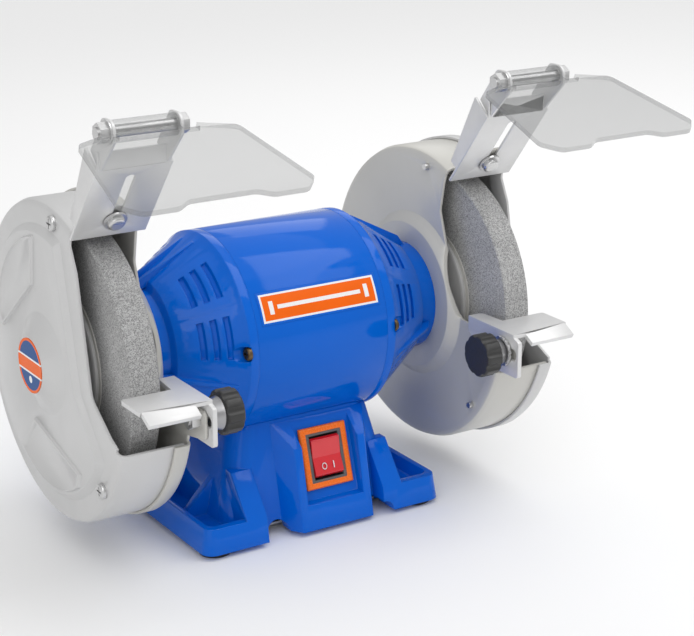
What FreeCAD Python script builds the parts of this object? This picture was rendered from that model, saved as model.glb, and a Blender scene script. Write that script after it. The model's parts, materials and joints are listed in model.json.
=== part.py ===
"""Bench grinder with two guarded wheels, built as separate named solids.

Frame: X runs along the shaft, -Y is the operator's side, Z is up and
z = 0 is the bench. The origin lies midway between the four bench bolts.
All lengths are in millimetres.
"""
import math
import os

import FreeCAD
import Part

V = FreeCAD.Vector

# Grinding wheels, the size that the guards follow
WHEEL_RADIUS = 75.0
WHEEL_WIDTH = 16.0
WHEEL_BORE_RADIUS = 6.35
BLOTTER_THICKNESS = 0.6
BLOTTER_RADIUS = 40.0
CLAMP_FLANGE_RADIUS = 37.5
CLAMP_FLANGE_THICKNESS = 5.5

# Layout along the shaft and above the bench
SHAFT_HEIGHT = 107.5
BARREL_HALF_LENGTH = 40.4
BELL_SHOULDER_X = BARREL_HALF_LENGTH + 6.1
BELL_CONE_END_X = BARREL_HALF_LENGTH + 37.6
NECK_END_X = BARREL_HALF_LENGTH + 49.6
GUARD_INNER_X = NECK_END_X + 5.4
GUARD_WIDTH = 39.4
GUARD_OUTER_X = GUARD_INNER_X + GUARD_WIDTH
GUARD_CENTRE_X = (GUARD_INNER_X + GUARD_OUTER_X) / 2
WHEEL_INNER_X = GUARD_INNER_X + 12.1
MOVING_GAP = 0.35
RUNNING_CLEARANCE = 0.05

# Spindle and bearings
SPINDLE_NUT_ACROSS_FLATS = 19.0
SPINDLE_NUT_HEIGHT = 9.0
SPINDLE_END_X = GUARD_OUTER_X + 5.7
SHAFT_RADIUS = 9.0
BEARING_BORE_RADIUS = 7.5
BEARING_OUTER_RADIUS = 17.5
BEARING_WIDTH = 11.0
BEARING_X = BARREL_HALF_LENGTH + 22.6
BEARING_SPLIT_RADIUS = 12.0

# Motor
BARREL_RADIUS = 57.0
BARREL_WALL = 4.6
BELL_CONE_END_RADIUS = 36.0
BELL_WALL = 4.0
NECK_RADIUS = 31.4
SPIGOT_LENGTH = 3.0
STATOR_HALF_LENGTH = BARREL_HALF_LENGTH - 16.4
STATOR_BORE_RADIUS = 29.0
AIR_GAP = 0.5
WINDING_LENGTH = 10.0
BELL_SCREW_ANGLES = (4.0, 184.0)
BELL_SCREW_CIRCLE = BARREL_RADIUS - BARREL_WALL / 2
BELL_SCREW_RADIUS = 1.5
BELL_SCREW_HEAD_RADIUS = 3.6
BELL_SCREW_DEPTH = 11.0
VENT_ANGLES = (14.0, 52.0, 128.0, 166.0)
VENT_POSITIONS = (BELL_SHOULDER_X + 7.5, BELL_SHOULDER_X + 13.5, BELL_SHOULDER_X + 19.5)
VENT_WIDTH = 3.0
VENT_HALF_ANGLE = 13.0
VENT_DEPTH = 2.2

# Base
FOOT_HEIGHT = 3.0
FLOOR_TOP = 10.0
RIM_TOP = 17.5
RIM_WALL = 5.0
RAMP_RISE = 22.0
PEDESTAL_TOP_X = BARREL_HALF_LENGTH + 2.6
PEDESTAL_BOTTOM_X = PEDESTAL_TOP_X + 14.0
PEDESTAL_TOP_Y = BARREL_RADIUS - 22.5
PEDESTAL_BOTTOM_Y = PEDESTAL_TOP_Y + 14.0
PEDESTAL_TOP_Z = SHAFT_HEIGHT - 41.5
PEDESTAL_CORNER = 13.0
BASE_HALF_X = PEDESTAL_BOTTOM_X + 19.0
BASE_HALF_Y = PEDESTAL_BOTTOM_Y + 11.2
FLANGE_START_X = PEDESTAL_BOTTOM_X - 19.5
TRAY_START_X = PEDESTAL_BOTTOM_X - 9.0
BASE_WALL = 4.5
WIRE_HOLE_X = 13.5
WIRE_HOLE_Y = 9.5
BENCH_HOLE_RADIUS = 3.3
BENCH_HOLE_X = BASE_HALF_X - 11.0
BENCH_HOLE_Y = BASE_HALF_Y - 11.7
FOOT_RADIUS = 9.5
FOOT_STEM_RADIUS = 5.5
FOOT_STEM_HEIGHT = 4.0
COVER_THICKNESS = 1.2
COVER_HALF_X = PEDESTAL_BOTTOM_X - 7.0
COVER_HALF_Y = PEDESTAL_BOTTOM_Y - 8.5
COVER_SCREW_X = COVER_HALF_X - 4.0
COVER_SCREW_Y = COVER_HALF_Y - 6.0
GLAND_RADIUS = 6.0
GLAND_BORE_RADIUS = 3.4
GLAND_Z = 24.0
GLAND_START_Y = PEDESTAL_BOTTOM_Y - 14.5
CAPACITOR_RADIUS = 12.5
CAPACITOR_HALF_LENGTH = 21.0
CAPACITOR_Y = 14.0
CAPACITOR_Z = 24.0
CLIP_THICKNESS = 1.1
CLIP_HALF_WIDTH = 6.0

# Switch panel and rocker switch
PANEL_CENTRE_X = 7.1
PANEL_HALF_X = 22.7
PANEL_FLARE = 7.5
PANEL_DEPTH = 12.0
PANEL_FRONT_Y = -BASE_HALF_Y - 0.1
PANEL_SLOPE = 0.216
SWITCH_SLOPE = 0.3
SWITCH_SEAT_Y = PANEL_FRONT_Y + 4.8
SWITCH_CENTRE_Z = SHAFT_HEIGHT - 68.7
RECESS_LOW_Z = SWITCH_CENTRE_Z - 21.8
RECESS_HALF_X = 18.0
BEZEL_WIDTH = 30.0
BEZEL_HEIGHT = 34.5
BEZEL_THICKNESS = 2.6
WINDOW_WIDTH = 22.5
WINDOW_HEIGHT = 27.5
SWITCH_DEPTH = 22.0
ROCKER_WIDTH = 18.0
ROCKER_HEIGHT = 22.0
ROCKER_ANGLE = 8.0
ROCKER_PIVOT_DEPTH = 3.2
ROCKER_PIN_RADIUS = 1.2
ROCKER_PIN_CLEARANCE = 0.1
ROCKER_END_GAP = 1.3

# Guards
GUARD_RADIUS = WHEEL_RADIUS + 11.7
SHEET = 1.5
BAND_OVERLAP = 8.0
BAND_SEAM_GAP = 0.1
BAND_END_GAP = 2.0
OPENING_LOW_ANGLE = -17.5
OPENING_HIGH_ANGLE = 65.5
COVER_SCREW_ANGLES = (80.0, -40.0, -160.0)
COVER_SCREW_CIRCLE = GUARD_RADIUS - 7.2
COVER_SCREW_RADIUS = 1.8
COVER_SCREW_HEAD_RADIUS = 4.2
COVER_SCREW_HEAD_HEIGHT = 2.4
PLATEAU_HEIGHT = 3.2
PLATEAU_SLOPE = 4.2
PLATEAU_RADIUS = COVER_SCREW_CIRCLE - COVER_SCREW_HEAD_RADIUS - PLATEAU_SLOPE - 0.9
BOSS_TOP_X = GUARD_OUTER_X + 10.6
BOSS_TOP_RADIUS = 16.5
BOSS_FOOT_RADIUS = 28.0
PAD_HEIGHT = 0.7
GUARD_SCREW_CIRCLE = 22.5
GUARD_SCREW_RADIUS = 2.0
GUARD_SCREW_ANGLES = (30.0, 150.0, 270.0)

# Spark deflector bracket and the eye shield hinged on it
BRACKET_FOOT_Y = -0.427 * GUARD_RADIUS
BRACKET_FOOT_Z = SHAFT_HEIGHT + 0.859 * GUARD_RADIUS
BRACKET_LEAN = 38.5
BRACKET_LENGTH = 54.0
BRACKET_HALF_WIDTH = GUARD_WIDTH / 2 + 1.0
BRACKET_SCREW_AT = 13.0
BRACKET_SLOT_END = 45.0
BRACKET_SLOT_RADIUS = 2.6
CLAMP_SCREW_RADIUS = 2.2
HINGE_Y = BRACKET_FOOT_Y - 44.0
HINGE_Z = BRACKET_FOOT_Z + 63.0
HINGE_PIN_RADIUS = 3.0
HINGE_EAR_X = 17.0
KNUCKLE_RADIUS = 5.6
SHIELD_THICKNESS = 2.6
SHIELD_TILT = 14.5
SHIELD_DEPTH = 80.0
SHIELD_REAR_HALF = 42.0
SHIELD_FRONT_HALF = 50.0
SHIELD_SHIFT = 2.5

# Tool rest with its clamp knob
REST_TOP_Z = SHAFT_HEIGHT + 2.5
REST_SHEET = 2.5
REST_FLANGE_X = GUARD_INNER_X - MOVING_GAP
REST_END_X = GUARD_OUTER_X - 3.8
REST_WHEEL_GAP = 2.5
STUD_Y = -GUARD_RADIUS - 5.3
STUD_Z = SHAFT_HEIGHT - 9.0
STUD_RADIUS = 3.0
REST_TRAVEL = 8.0
REST_SLOT_RADIUS = 3.4
REST_SLOT_FRONT = 9.0
REST_BACK_Y = STUD_Y + 32.0
REST_BEND_Y = STUD_Y - 6.5
REST_LIP_Y = STUD_Y - 15.0
REST_FRONT_Y = STUD_Y - 14.0
REST_LIP_FALL = 4.5
REST_FLANGE_LOW_Z = REST_TOP_Z - 24.0
EAR_TIP_Y = STUD_Y - 9.0
EAR_TOP_Z = STUD_Z + 5.5
EAR_LOW_Z = STUD_Z - 9.5
KNOB_RADIUS = 11.8
KNOB_LOBES = 9
KNOB_HEAD_LENGTH = 10.0
KNOB_HUB_LENGTH = 5.5
CLAMP_WASHER_THICKNESS = 1.6


def box(x0, x1, y0, y1, z0, z1):
    """Box between two corners."""
    return Part.makeBox(x1 - x0, y1 - y0, z1 - z0, V(x0, y0, z0))


def rod_x(radius, x0, x1, y=0.0, z=SHAFT_HEIGHT):
    """Round bar along X, on the shaft's axis unless y and z are given."""
    return Part.makeCylinder(radius, x1 - x0, V(x0, y, z), V(1, 0, 0))


def tube_x(outer, inner, x0, x1, y=0.0, z=SHAFT_HEIGHT):
    """Round tube along X."""
    return rod_x(outer, x0, x1, y, z).cut(rod_x(inner, x0 - 1, x1 + 1, y, z))


def turned_x(profile):
    """Solid of revolution about the shaft's axis from (x, radius) points."""
    points = [V(x, 0, SHAFT_HEIGHT + r) for x, r in profile]
    points.append(points[0])
    face = Part.Face(Part.makePolygon(points))
    return face.revolve(V(0, 0, SHAFT_HEIGHT), V(1, 0, 0), 360)


def around(angle, radius):
    """(y, z) at an angle from the front horizontal, upwards positive."""
    turn = math.radians(angle)
    return -radius * math.cos(turn), SHAFT_HEIGHT + radius * math.sin(turn)


def rounded_wire(points, radii, to_space):
    """Closed outline with an arc of the given radius at each corner."""
    count = len(points)
    starts = []
    ends = []
    middles = []
    for i in range(count):
        here = points[i]
        before = points[i - 1]
        after = points[(i + 1) % count]
        back = (before[0] - here[0], before[1] - here[1])
        ahead = (after[0] - here[0], after[1] - here[1])
        back_length = math.hypot(*back)
        ahead_length = math.hypot(*ahead)
        back = (back[0] / back_length, back[1] / back_length)
        ahead = (ahead[0] / ahead_length, ahead[1] / ahead_length)
        half = math.acos(max(-1.0, min(1.0, back[0] * ahead[0] + back[1] * ahead[1]))) / 2
        reach = radii[i] / math.tan(half)
        starts.append((here[0] + back[0] * reach, here[1] + back[1] * reach))
        ends.append((here[0] + ahead[0] * reach, here[1] + ahead[1] * reach))
        bisector = (back[0] + ahead[0], back[1] + ahead[1])
        size = max(math.hypot(*bisector), 1e-9)
        gap = radii[i] / math.sin(half) - radii[i]
        middles.append((here[0] + bisector[0] / size * gap, here[1] + bisector[1] / size * gap))
    edges = []
    for i in range(count):
        if radii[i] > 0:
            arc = Part.Arc(to_space(*starts[i]), to_space(*middles[i]), to_space(*ends[i]))
            edges.append(arc.toShape())
        edges.append(Part.makeLine(to_space(*ends[i]), to_space(*starts[(i + 1) % count])))
    return Part.Wire(edges)


def sheet_x(points, x0, x1, radii=None):
    """Plate across the shaft: a (y, z) outline extruded from x0 to x1."""
    radii = radii or [0] * len(points)
    wire = rounded_wire(points, radii, lambda y, z: V(x0, y, z))
    return Part.Face(wire).extrude(V(x1 - x0, 0, 0))


def sheet_z(points, z0, z1, radii=None):
    """Level plate: an (x, y) outline extruded from z0 to z1."""
    radii = radii or [0] * len(points)
    wire = rounded_wire(points, radii, lambda x, y: V(x, y, z0))
    return Part.Face(wire).extrude(V(0, 0, z1 - z0))


def round_rectangle(half_x, half_y, z, radius, y_centre=0.0):
    """Level rectangle with rounded corners, as a wire."""
    low = y_centre - half_y
    high = y_centre + half_y
    points = [(-half_x, low), (half_x, low), (half_x, high), (-half_x, high)]
    return rounded_wire(points, [radius] * 4, lambda x, y: V(x, y, z))


def taper(bottom, top):
    """Straight-sided solid between two level wires."""
    return Part.makeLoft([bottom, top], True, True)


def hexagon_x(across_flats, x0, x1, y, z):
    """Hexagonal bar along X."""
    radius = across_flats / math.sqrt(3)
    points = []
    for i in range(6):
        turn = math.radians(60 * i + 30)
        points.append((y + radius * math.cos(turn), z + radius * math.sin(turn)))
    return sheet_x(points, x0, x1)


def mirrored(shape):
    """The same piece on the left-hand side."""
    return shape.mirror(V(0, 0, 0), V(1, 0, 0))


def group(shapes):
    """Loose solids that belong to one node."""
    return Part.makeCompound(shapes)


def pan_head_x(radius, height, x0, direction, y, z):
    """Domed cross-recess screw head standing on the plane x0."""
    head = Part.makeCylinder(radius, height, V(x0, y, z), V(direction, 0, 0))
    rim = [edge for edge in head.Edges if abs(edge.CenterOfMass.x - x0) > height / 2 and edge.Closed]
    head = head.makeFillet(height * 0.55, rim)
    tip = x0 + direction * height
    low = min(tip, tip - direction * height * 0.5)
    high = max(tip, tip - direction * height * 0.5)
    reach = radius * 0.62
    head = head.cut(box(low, high, y - reach, y + reach, z - 0.45, z + 0.45))
    return head.cut(box(low, high, y - 0.45, y + 0.45, z - reach, z + reach))


def pedestal_wire(z, inset):
    """Section of the pedestal's outside at height z, moved in by inset."""
    share = (z - FOOT_HEIGHT) / (PEDESTAL_TOP_Z - FOOT_HEIGHT)
    half_x = PEDESTAL_BOTTOM_X + (PEDESTAL_TOP_X - PEDESTAL_BOTTOM_X) * share - inset
    half_y = PEDESTAL_BOTTOM_Y + (PEDESTAL_TOP_Y - PEDESTAL_BOTTOM_Y) * share - inset
    return round_rectangle(half_x, half_y, z, PEDESTAL_CORNER - inset)


def on_switch_plane(shape):
    """Place a piece drawn with +Z outwards on the slanted switch seat."""
    lean = 90 - math.degrees(math.atan(SWITCH_SLOPE))
    seat_y = SWITCH_SEAT_Y + SWITCH_SLOPE * (SWITCH_CENTRE_Z - FOOT_HEIGHT)
    turn = FreeCAD.Rotation(V(1, 0, 0), lean)
    placed = shape.copy()
    placed.Placement = FreeCAD.Placement(V(PANEL_CENTRE_X, seat_y, SWITCH_CENTRE_Z), turn)
    return placed


def switch_panel():
    """Raised front panel, slanted back and chamfered at its top."""
    sections = []
    for z in (FOOT_HEIGHT, PEDESTAL_TOP_Z):
        lift = PANEL_SLOPE * (z - FOOT_HEIGHT)
        front = PANEL_FRONT_Y + lift
        points = [
            (PANEL_CENTRE_X - PANEL_HALF_X, front),
            (PANEL_CENTRE_X + PANEL_HALF_X, front),
            (PANEL_CENTRE_X + PANEL_HALF_X + PANEL_FLARE, front + PANEL_DEPTH),
            (PANEL_CENTRE_X - PANEL_HALF_X - PANEL_FLARE, front + PANEL_DEPTH),
        ]
        sections.append(rounded_wire(points, [1.5, 1.5, 0, 0], lambda x, y, z=z: V(x, y, z)))
    panel = taper(sections[0], sections[1])
    low = (PANEL_FRONT_Y - 2.2, SWITCH_CENTRE_Z - 0.3)
    high = (PANEL_FRONT_Y + 29.8, PEDESTAL_TOP_Z)
    top_cut = sheet_x(
        [low, high, (high[0], high[1] + 14), (low[0] - 18, high[1] + 14), (low[0] - 18, low[1])],
        -BASE_HALF_X,
        BASE_HALF_X,
    )
    return panel.cut(top_cut)


def end_box(side, start):
    """Block that holds one end of the base beyond the distance start."""
    block = box(start, 2 * BASE_HALF_X, -2 * BASE_HALF_Y, 2 * BASE_HALF_Y, 0, 3 * RIM_TOP)
    return block if side > 0 else mirrored(block)


def base():
    """Cast pedestal with two tray flanges, open underneath."""
    outer = taper(pedestal_wire(FOOT_HEIGHT, 0), pedestal_wire(PEDESTAL_TOP_Z, 0))
    body = outer.fuse(switch_panel())
    for side in (-1, 1):
        pad = taper(
            round_rectangle(BASE_HALF_X, BASE_HALF_Y, FOOT_HEIGHT, 7),
            round_rectangle(BASE_HALF_X - 2, BASE_HALF_Y - 2, RIM_TOP, 6),
        )
        keep = end_box(side, FLANGE_START_X)
        tray = taper(
            round_rectangle(BASE_HALF_X - RIM_WALL - 1.5, BASE_HALF_Y - RIM_WALL - 3, FLOOR_TOP, 4),
            round_rectangle(BASE_HALF_X - RIM_WALL, BASE_HALF_Y - RIM_WALL - 1.5, RIM_TOP + 1, 4.5),
        )
        body = body.fuse(pad.common(keep).cut(tray.common(end_box(side, TRAY_START_X))))
        high = RIM_TOP + RAMP_RISE
        share = (high - FOOT_HEIGHT) / (PEDESTAL_TOP_Z - FOOT_HEIGHT)
        back = PEDESTAL_BOTTOM_Y - (PEDESTAL_BOTTOM_Y - PEDESTAL_TOP_Y) * share
        ramp = sheet_x(
            [(-BASE_HALF_Y, FOOT_HEIGHT), (2 - BASE_HALF_Y, RIM_TOP), (-back, high),
             (6 - back, high), (6 - back, FOOT_HEIGHT)],
            FLANGE_START_X, TRAY_START_X + 2,
        )
        body = body.fuse(ramp if side > 0 else mirrored(ramp))
        for y in (-19.0, 19.0):
            points = [
                (PEDESTAL_BOTTOM_X - 7, FLOOR_TOP - 1), (PEDESTAL_BOTTOM_X + 12, FLOOR_TOP - 1),
                (PEDESTAL_BOTTOM_X + 12, FLOOR_TOP + 2), (PEDESTAL_BOTTOM_X - 9, FLOOR_TOP + 24),
                (PEDESTAL_BOTTOM_X - 11, FLOOR_TOP + 24),
            ]
            wire = rounded_wire(points, [0] * 5, lambda x, z, y=y, side=side: V(side * x, y - 2.5, z))
            body = body.fuse(Part.Face(wire).extrude(V(0, 5, 0)))
    cavity = taper(pedestal_wire(FOOT_HEIGHT - 1, BASE_WALL), pedestal_wire(PEDESTAL_TOP_Z, BASE_WALL))
    saddle = rod_x(BARREL_RADIUS + BASE_WALL, -BASE_HALF_X, BASE_HALF_X)
    body = body.cut(cavity.cut(saddle))
    body = body.cut(rod_x(BARREL_RADIUS, -BELL_SHOULDER_X - 8, BELL_SHOULDER_X + 8))
    under = SHAFT_HEIGHT - BARREL_RADIUS
    body = body.cut(box(-WIRE_HOLE_X, WIRE_HOLE_X, -WIRE_HOLE_Y, WIRE_HOLE_Y, under - 10, under + 10))
    recess_high = PEDESTAL_TOP_Z + 6
    seat = [(SWITCH_SEAT_Y + SWITCH_SLOPE * (z - FOOT_HEIGHT), z) for z in (RECESS_LOW_Z, recess_high)]
    recess = sheet_x(
        [seat[0], (PANEL_FRONT_Y - 20, RECESS_LOW_Z), (PANEL_FRONT_Y - 20, recess_high), seat[1]],
        PANEL_CENTRE_X - RECESS_HALF_X,
        PANEL_CENTRE_X + RECESS_HALF_X,
    )
    body = body.cut(recess)
    hole = box(-WINDOW_WIDTH / 2, WINDOW_WIDTH / 2, -WINDOW_HEIGHT / 2, WINDOW_HEIGHT / 2, -20, 1)
    body = body.cut(on_switch_plane(hole))
    for x in (PANEL_CENTRE_X - PANEL_HALF_X - 10.4, PANEL_CENTRE_X + PANEL_HALF_X + 8.2):
        arch = Part.makeCylinder(6, BASE_HALF_Y / 2, V(x, -1.2 * BASE_HALF_Y, FOOT_HEIGHT), V(0, 1, 0))
        body = body.cut(arch)
    for x in (-COVER_SCREW_X, COVER_SCREW_X):
        for y in (-COVER_SCREW_Y, COVER_SCREW_Y):
            boss = Part.makeCylinder(7, 14, V(x, y, FOOT_HEIGHT))
            body = body.fuse(boss.common(outer))
            body = body.cut(Part.makeCylinder(1.5, 10, V(x, y, FOOT_HEIGHT)))
    plate = round_rectangle(COVER_HALF_X + 0.2, COVER_HALF_Y + 0.2, FOOT_HEIGHT, 8.2)
    body = body.cut(Part.Face(plate).extrude(V(0, 0, COVER_THICKNESS)))
    for x in (-BENCH_HOLE_X, BENCH_HOLE_X):
        for y in (-BENCH_HOLE_Y, BENCH_HOLE_Y):
            body = body.cut(Part.makeCylinder(FOOT_STEM_RADIUS, FOOT_STEM_HEIGHT, V(x, y, FOOT_HEIGHT)))
            body = body.cut(Part.makeCylinder(BENCH_HOLE_RADIUS, 20, V(x, y, FOOT_HEIGHT)))
    gland_hole = Part.makeCylinder(GLAND_RADIUS, BASE_HALF_Y, V(0, GLAND_START_Y, GLAND_Z), V(0, 1, 0))
    return body.cut(gland_hole).removeSplitter()


def rubber_feet():
    """Four grommet feet, bored for the bench bolts."""
    feet = []
    for x in (-BENCH_HOLE_X, BENCH_HOLE_X):
        for y in (-BENCH_HOLE_Y, BENCH_HOLE_Y):
            foot = Part.makeCone(FOOT_RADIUS - 0.8, FOOT_RADIUS, FOOT_HEIGHT, V(x, y, 0))
            foot = foot.fuse(Part.makeCylinder(FOOT_STEM_RADIUS, FOOT_STEM_HEIGHT, V(x, y, FOOT_HEIGHT)))
            feet.append(foot.cut(Part.makeCylinder(BENCH_HOLE_RADIUS, 20, V(x, y, -1))))
    return group(feet)


def base_cover():
    """Sheet plate that closes the wiring space under the pedestal."""
    wire = round_rectangle(COVER_HALF_X, COVER_HALF_Y, FOOT_HEIGHT, 8)
    plate = Part.Face(wire).extrude(V(0, 0, COVER_THICKNESS))
    for x in (-COVER_SCREW_X, COVER_SCREW_X):
        for y in (-COVER_SCREW_Y, COVER_SCREW_Y):
            plate = plate.cut(Part.makeCylinder(1.6, 10, V(x, y, 0)))
    return plate


def base_cover_screws():
    """Four screws under the base cover."""
    screws = []
    for x in (-COVER_SCREW_X, COVER_SCREW_X):
        for y in (-COVER_SCREW_Y, COVER_SCREW_Y):
            head = Part.makeCylinder(3, 1.5, V(x, y, FOOT_HEIGHT - 1.5))
            screws.append(head.fuse(Part.makeCylinder(1.5, 9, V(x, y, FOOT_HEIGHT))))
    return group(screws)


def cable_gland():
    """Strain relief at the rear of the base, bored for the cable."""
    share = (GLAND_Z - FOOT_HEIGHT) / (PEDESTAL_TOP_Z - FOOT_HEIGHT)
    seat = PEDESTAL_BOTTOM_Y - (PEDESTAL_BOTTOM_Y - PEDESTAL_TOP_Y) * share + 2.2
    along = V(0, 1, 0)
    body = Part.makeCylinder(GLAND_RADIUS, seat - GLAND_START_Y, V(0, GLAND_START_Y, GLAND_Z), along)
    body = body.fuse(Part.makeCylinder(GLAND_RADIUS + 2.5, 3.5, V(0, seat, GLAND_Z), along))
    body = body.fuse(Part.makeCone(GLAND_RADIUS + 1, GLAND_RADIUS - 1, 9, V(0, seat + 3.5, GLAND_Z), along))
    bore = Part.makeCylinder(GLAND_BORE_RADIUS, BASE_HALF_Y, V(0, GLAND_START_Y - 5, GLAND_Z), along)
    return body.cut(bore)


def capacitor():
    """Run capacitor lying in the base."""
    can = rod_x(CAPACITOR_RADIUS, -CAPACITOR_HALF_LENGTH, CAPACITOR_HALF_LENGTH, CAPACITOR_Y, CAPACITOR_Z)
    ends = [edge for edge in can.Edges if edge.Closed]
    can = can.makeFillet(1.2, ends)
    start = CAPACITOR_HALF_LENGTH - 0.5
    for y in (CAPACITOR_Y - 3.5, CAPACITOR_Y + 3.5):
        can = can.fuse(box(start, start + 6.5, y - 2.4, y + 2.4, CAPACITOR_Z - 0.4, CAPACITOR_Z + 0.4))
    return can


def capacitor_clip():
    """Spring clip that holds the capacitor on the base cover."""
    floor = FOOT_HEIGHT + COVER_THICKNESS
    half = CLIP_HALF_WIDTH
    reach = CAPACITOR_RADIUS + CLIP_THICKNESS
    strap = tube_x(reach, CAPACITOR_RADIUS, -half, half, CAPACITOR_Y, CAPACITOR_Z)
    mouth = CAPACITOR_Z + 0.4 * CAPACITOR_RADIUS
    opening = box(-half - 1, half + 1, CAPACITOR_Y - reach, CAPACITOR_Y + reach, mouth, mouth + reach)
    strap = strap.cut(opening)
    top = CAPACITOR_Z - CAPACITOR_RADIUS + 0.5
    foot = box(-half, half, CAPACITOR_Y - 0.8 * reach, CAPACITOR_Y + 0.8 * reach, floor, top)
    foot = foot.cut(rod_x(CAPACITOR_RADIUS, -half - 1, half + 1, CAPACITOR_Y, CAPACITOR_Z))
    return strap.fuse(foot)


def switch_bezel():
    """Square frame round the rocker switch."""
    frame = box(-BEZEL_WIDTH / 2, BEZEL_WIDTH / 2, -BEZEL_HEIGHT / 2, BEZEL_HEIGHT / 2, 0, BEZEL_THICKNESS)
    edges = [edge for edge in frame.Edges if edge.CenterOfMass.z > BEZEL_THICKNESS - 0.01]
    frame = frame.makeChamfer(0.8, edges)
    window = box(-WINDOW_WIDTH / 2, WINDOW_WIDTH / 2, -WINDOW_HEIGHT / 2, WINDOW_HEIGHT / 2, -1, 9)
    return on_switch_plane(frame.cut(window))


def switch_body():
    """Switch housing behind the bezel, with the rocker's well."""
    half_x = WINDOW_WIDTH / 2
    half_y = WINDOW_HEIGHT / 2
    body = box(-half_x, half_x, -half_y, half_y, -SWITCH_DEPTH, BEZEL_THICKNESS - 0.5)
    well_x = ROCKER_WIDTH / 2 + MOVING_GAP
    well_y = ROCKER_HEIGHT / 2 + ROCKER_END_GAP
    body = body.cut(box(-well_x, well_x, -well_y, well_y, -9, 9))
    for x in (-6, 0, 6):
        body = body.fuse(box(x - 2.4, x + 2.4, -0.4, 0.4, -SWITCH_DEPTH - 6, -SWITCH_DEPTH))
    pin_start = V(1 - half_x, 0, -ROCKER_PIVOT_DEPTH)
    pin = Part.makeCylinder(ROCKER_PIN_RADIUS, 2 * half_x - 2, pin_start, V(1, 0, 0))
    return on_switch_plane(body.fuse(pin))


def switch_rocker():
    """Rocker paddle, shown tipped to the off side."""
    half_x = ROCKER_WIDTH / 2
    half_y = ROCKER_HEIGHT / 2
    profile = [
        (-half_y, 1.4), (-half_y + 1.2, 3.6), (0, 2.2), (half_y - 1.2, 3.6), (half_y, 1.4),
        (half_y - 2.5, -5.6), (-half_y + 2.5, -5.6),
    ]
    wire = rounded_wire(profile, [0.4, 0.8, 0, 0.8, 0.4, 1, 1], lambda y, z: V(-half_x, y, z))
    paddle = Part.Face(wire).extrude(V(ROCKER_WIDTH, 0, 0))
    bore = ROCKER_PIN_RADIUS + ROCKER_PIN_CLEARANCE
    pivot = V(-ROCKER_WIDTH, 0, -ROCKER_PIVOT_DEPTH)
    paddle = paddle.cut(Part.makeCylinder(bore, 2 * ROCKER_WIDTH, pivot, V(1, 0, 0)))
    paddle.rotate(pivot, V(1, 0, 0), ROCKER_ANGLE)
    return on_switch_plane(paddle)


def motor_barrel():
    """Round motor shell between the end bells."""
    inside = BARREL_RADIUS - BARREL_WALL
    shell = tube_x(BARREL_RADIUS, inside, -BARREL_HALF_LENGTH, BARREL_HALF_LENGTH)
    for angle in BELL_SCREW_ANGLES:
        y, z = around(angle, BELL_SCREW_CIRCLE)
        for end in (-1, 1):
            start = end * BARREL_HALF_LENGTH
            drill = Part.makeCylinder(BELL_SCREW_RADIUS, BELL_SCREW_DEPTH + 1, V(start, y, z), V(-end, 0, 0))
            shell = shell.cut(drill)
    under = SHAFT_HEIGHT - BARREL_RADIUS
    half_x = WIRE_HOLE_X - 0.5
    half_y = WIRE_HOLE_Y - 0.5
    return shell.cut(box(-half_x, half_x, -half_y, half_y, under - 5, under + 20))


def bell_radius(x):
    """Outside radius of the end bell's cone at distance x along the shaft."""
    share = (x - BELL_SHOULDER_X) / (BELL_CONE_END_X - BELL_SHOULDER_X)
    return BARREL_RADIUS - 1.0 + (BELL_CONE_END_RADIUS - BARREL_RADIUS + 1.0) * share


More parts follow.
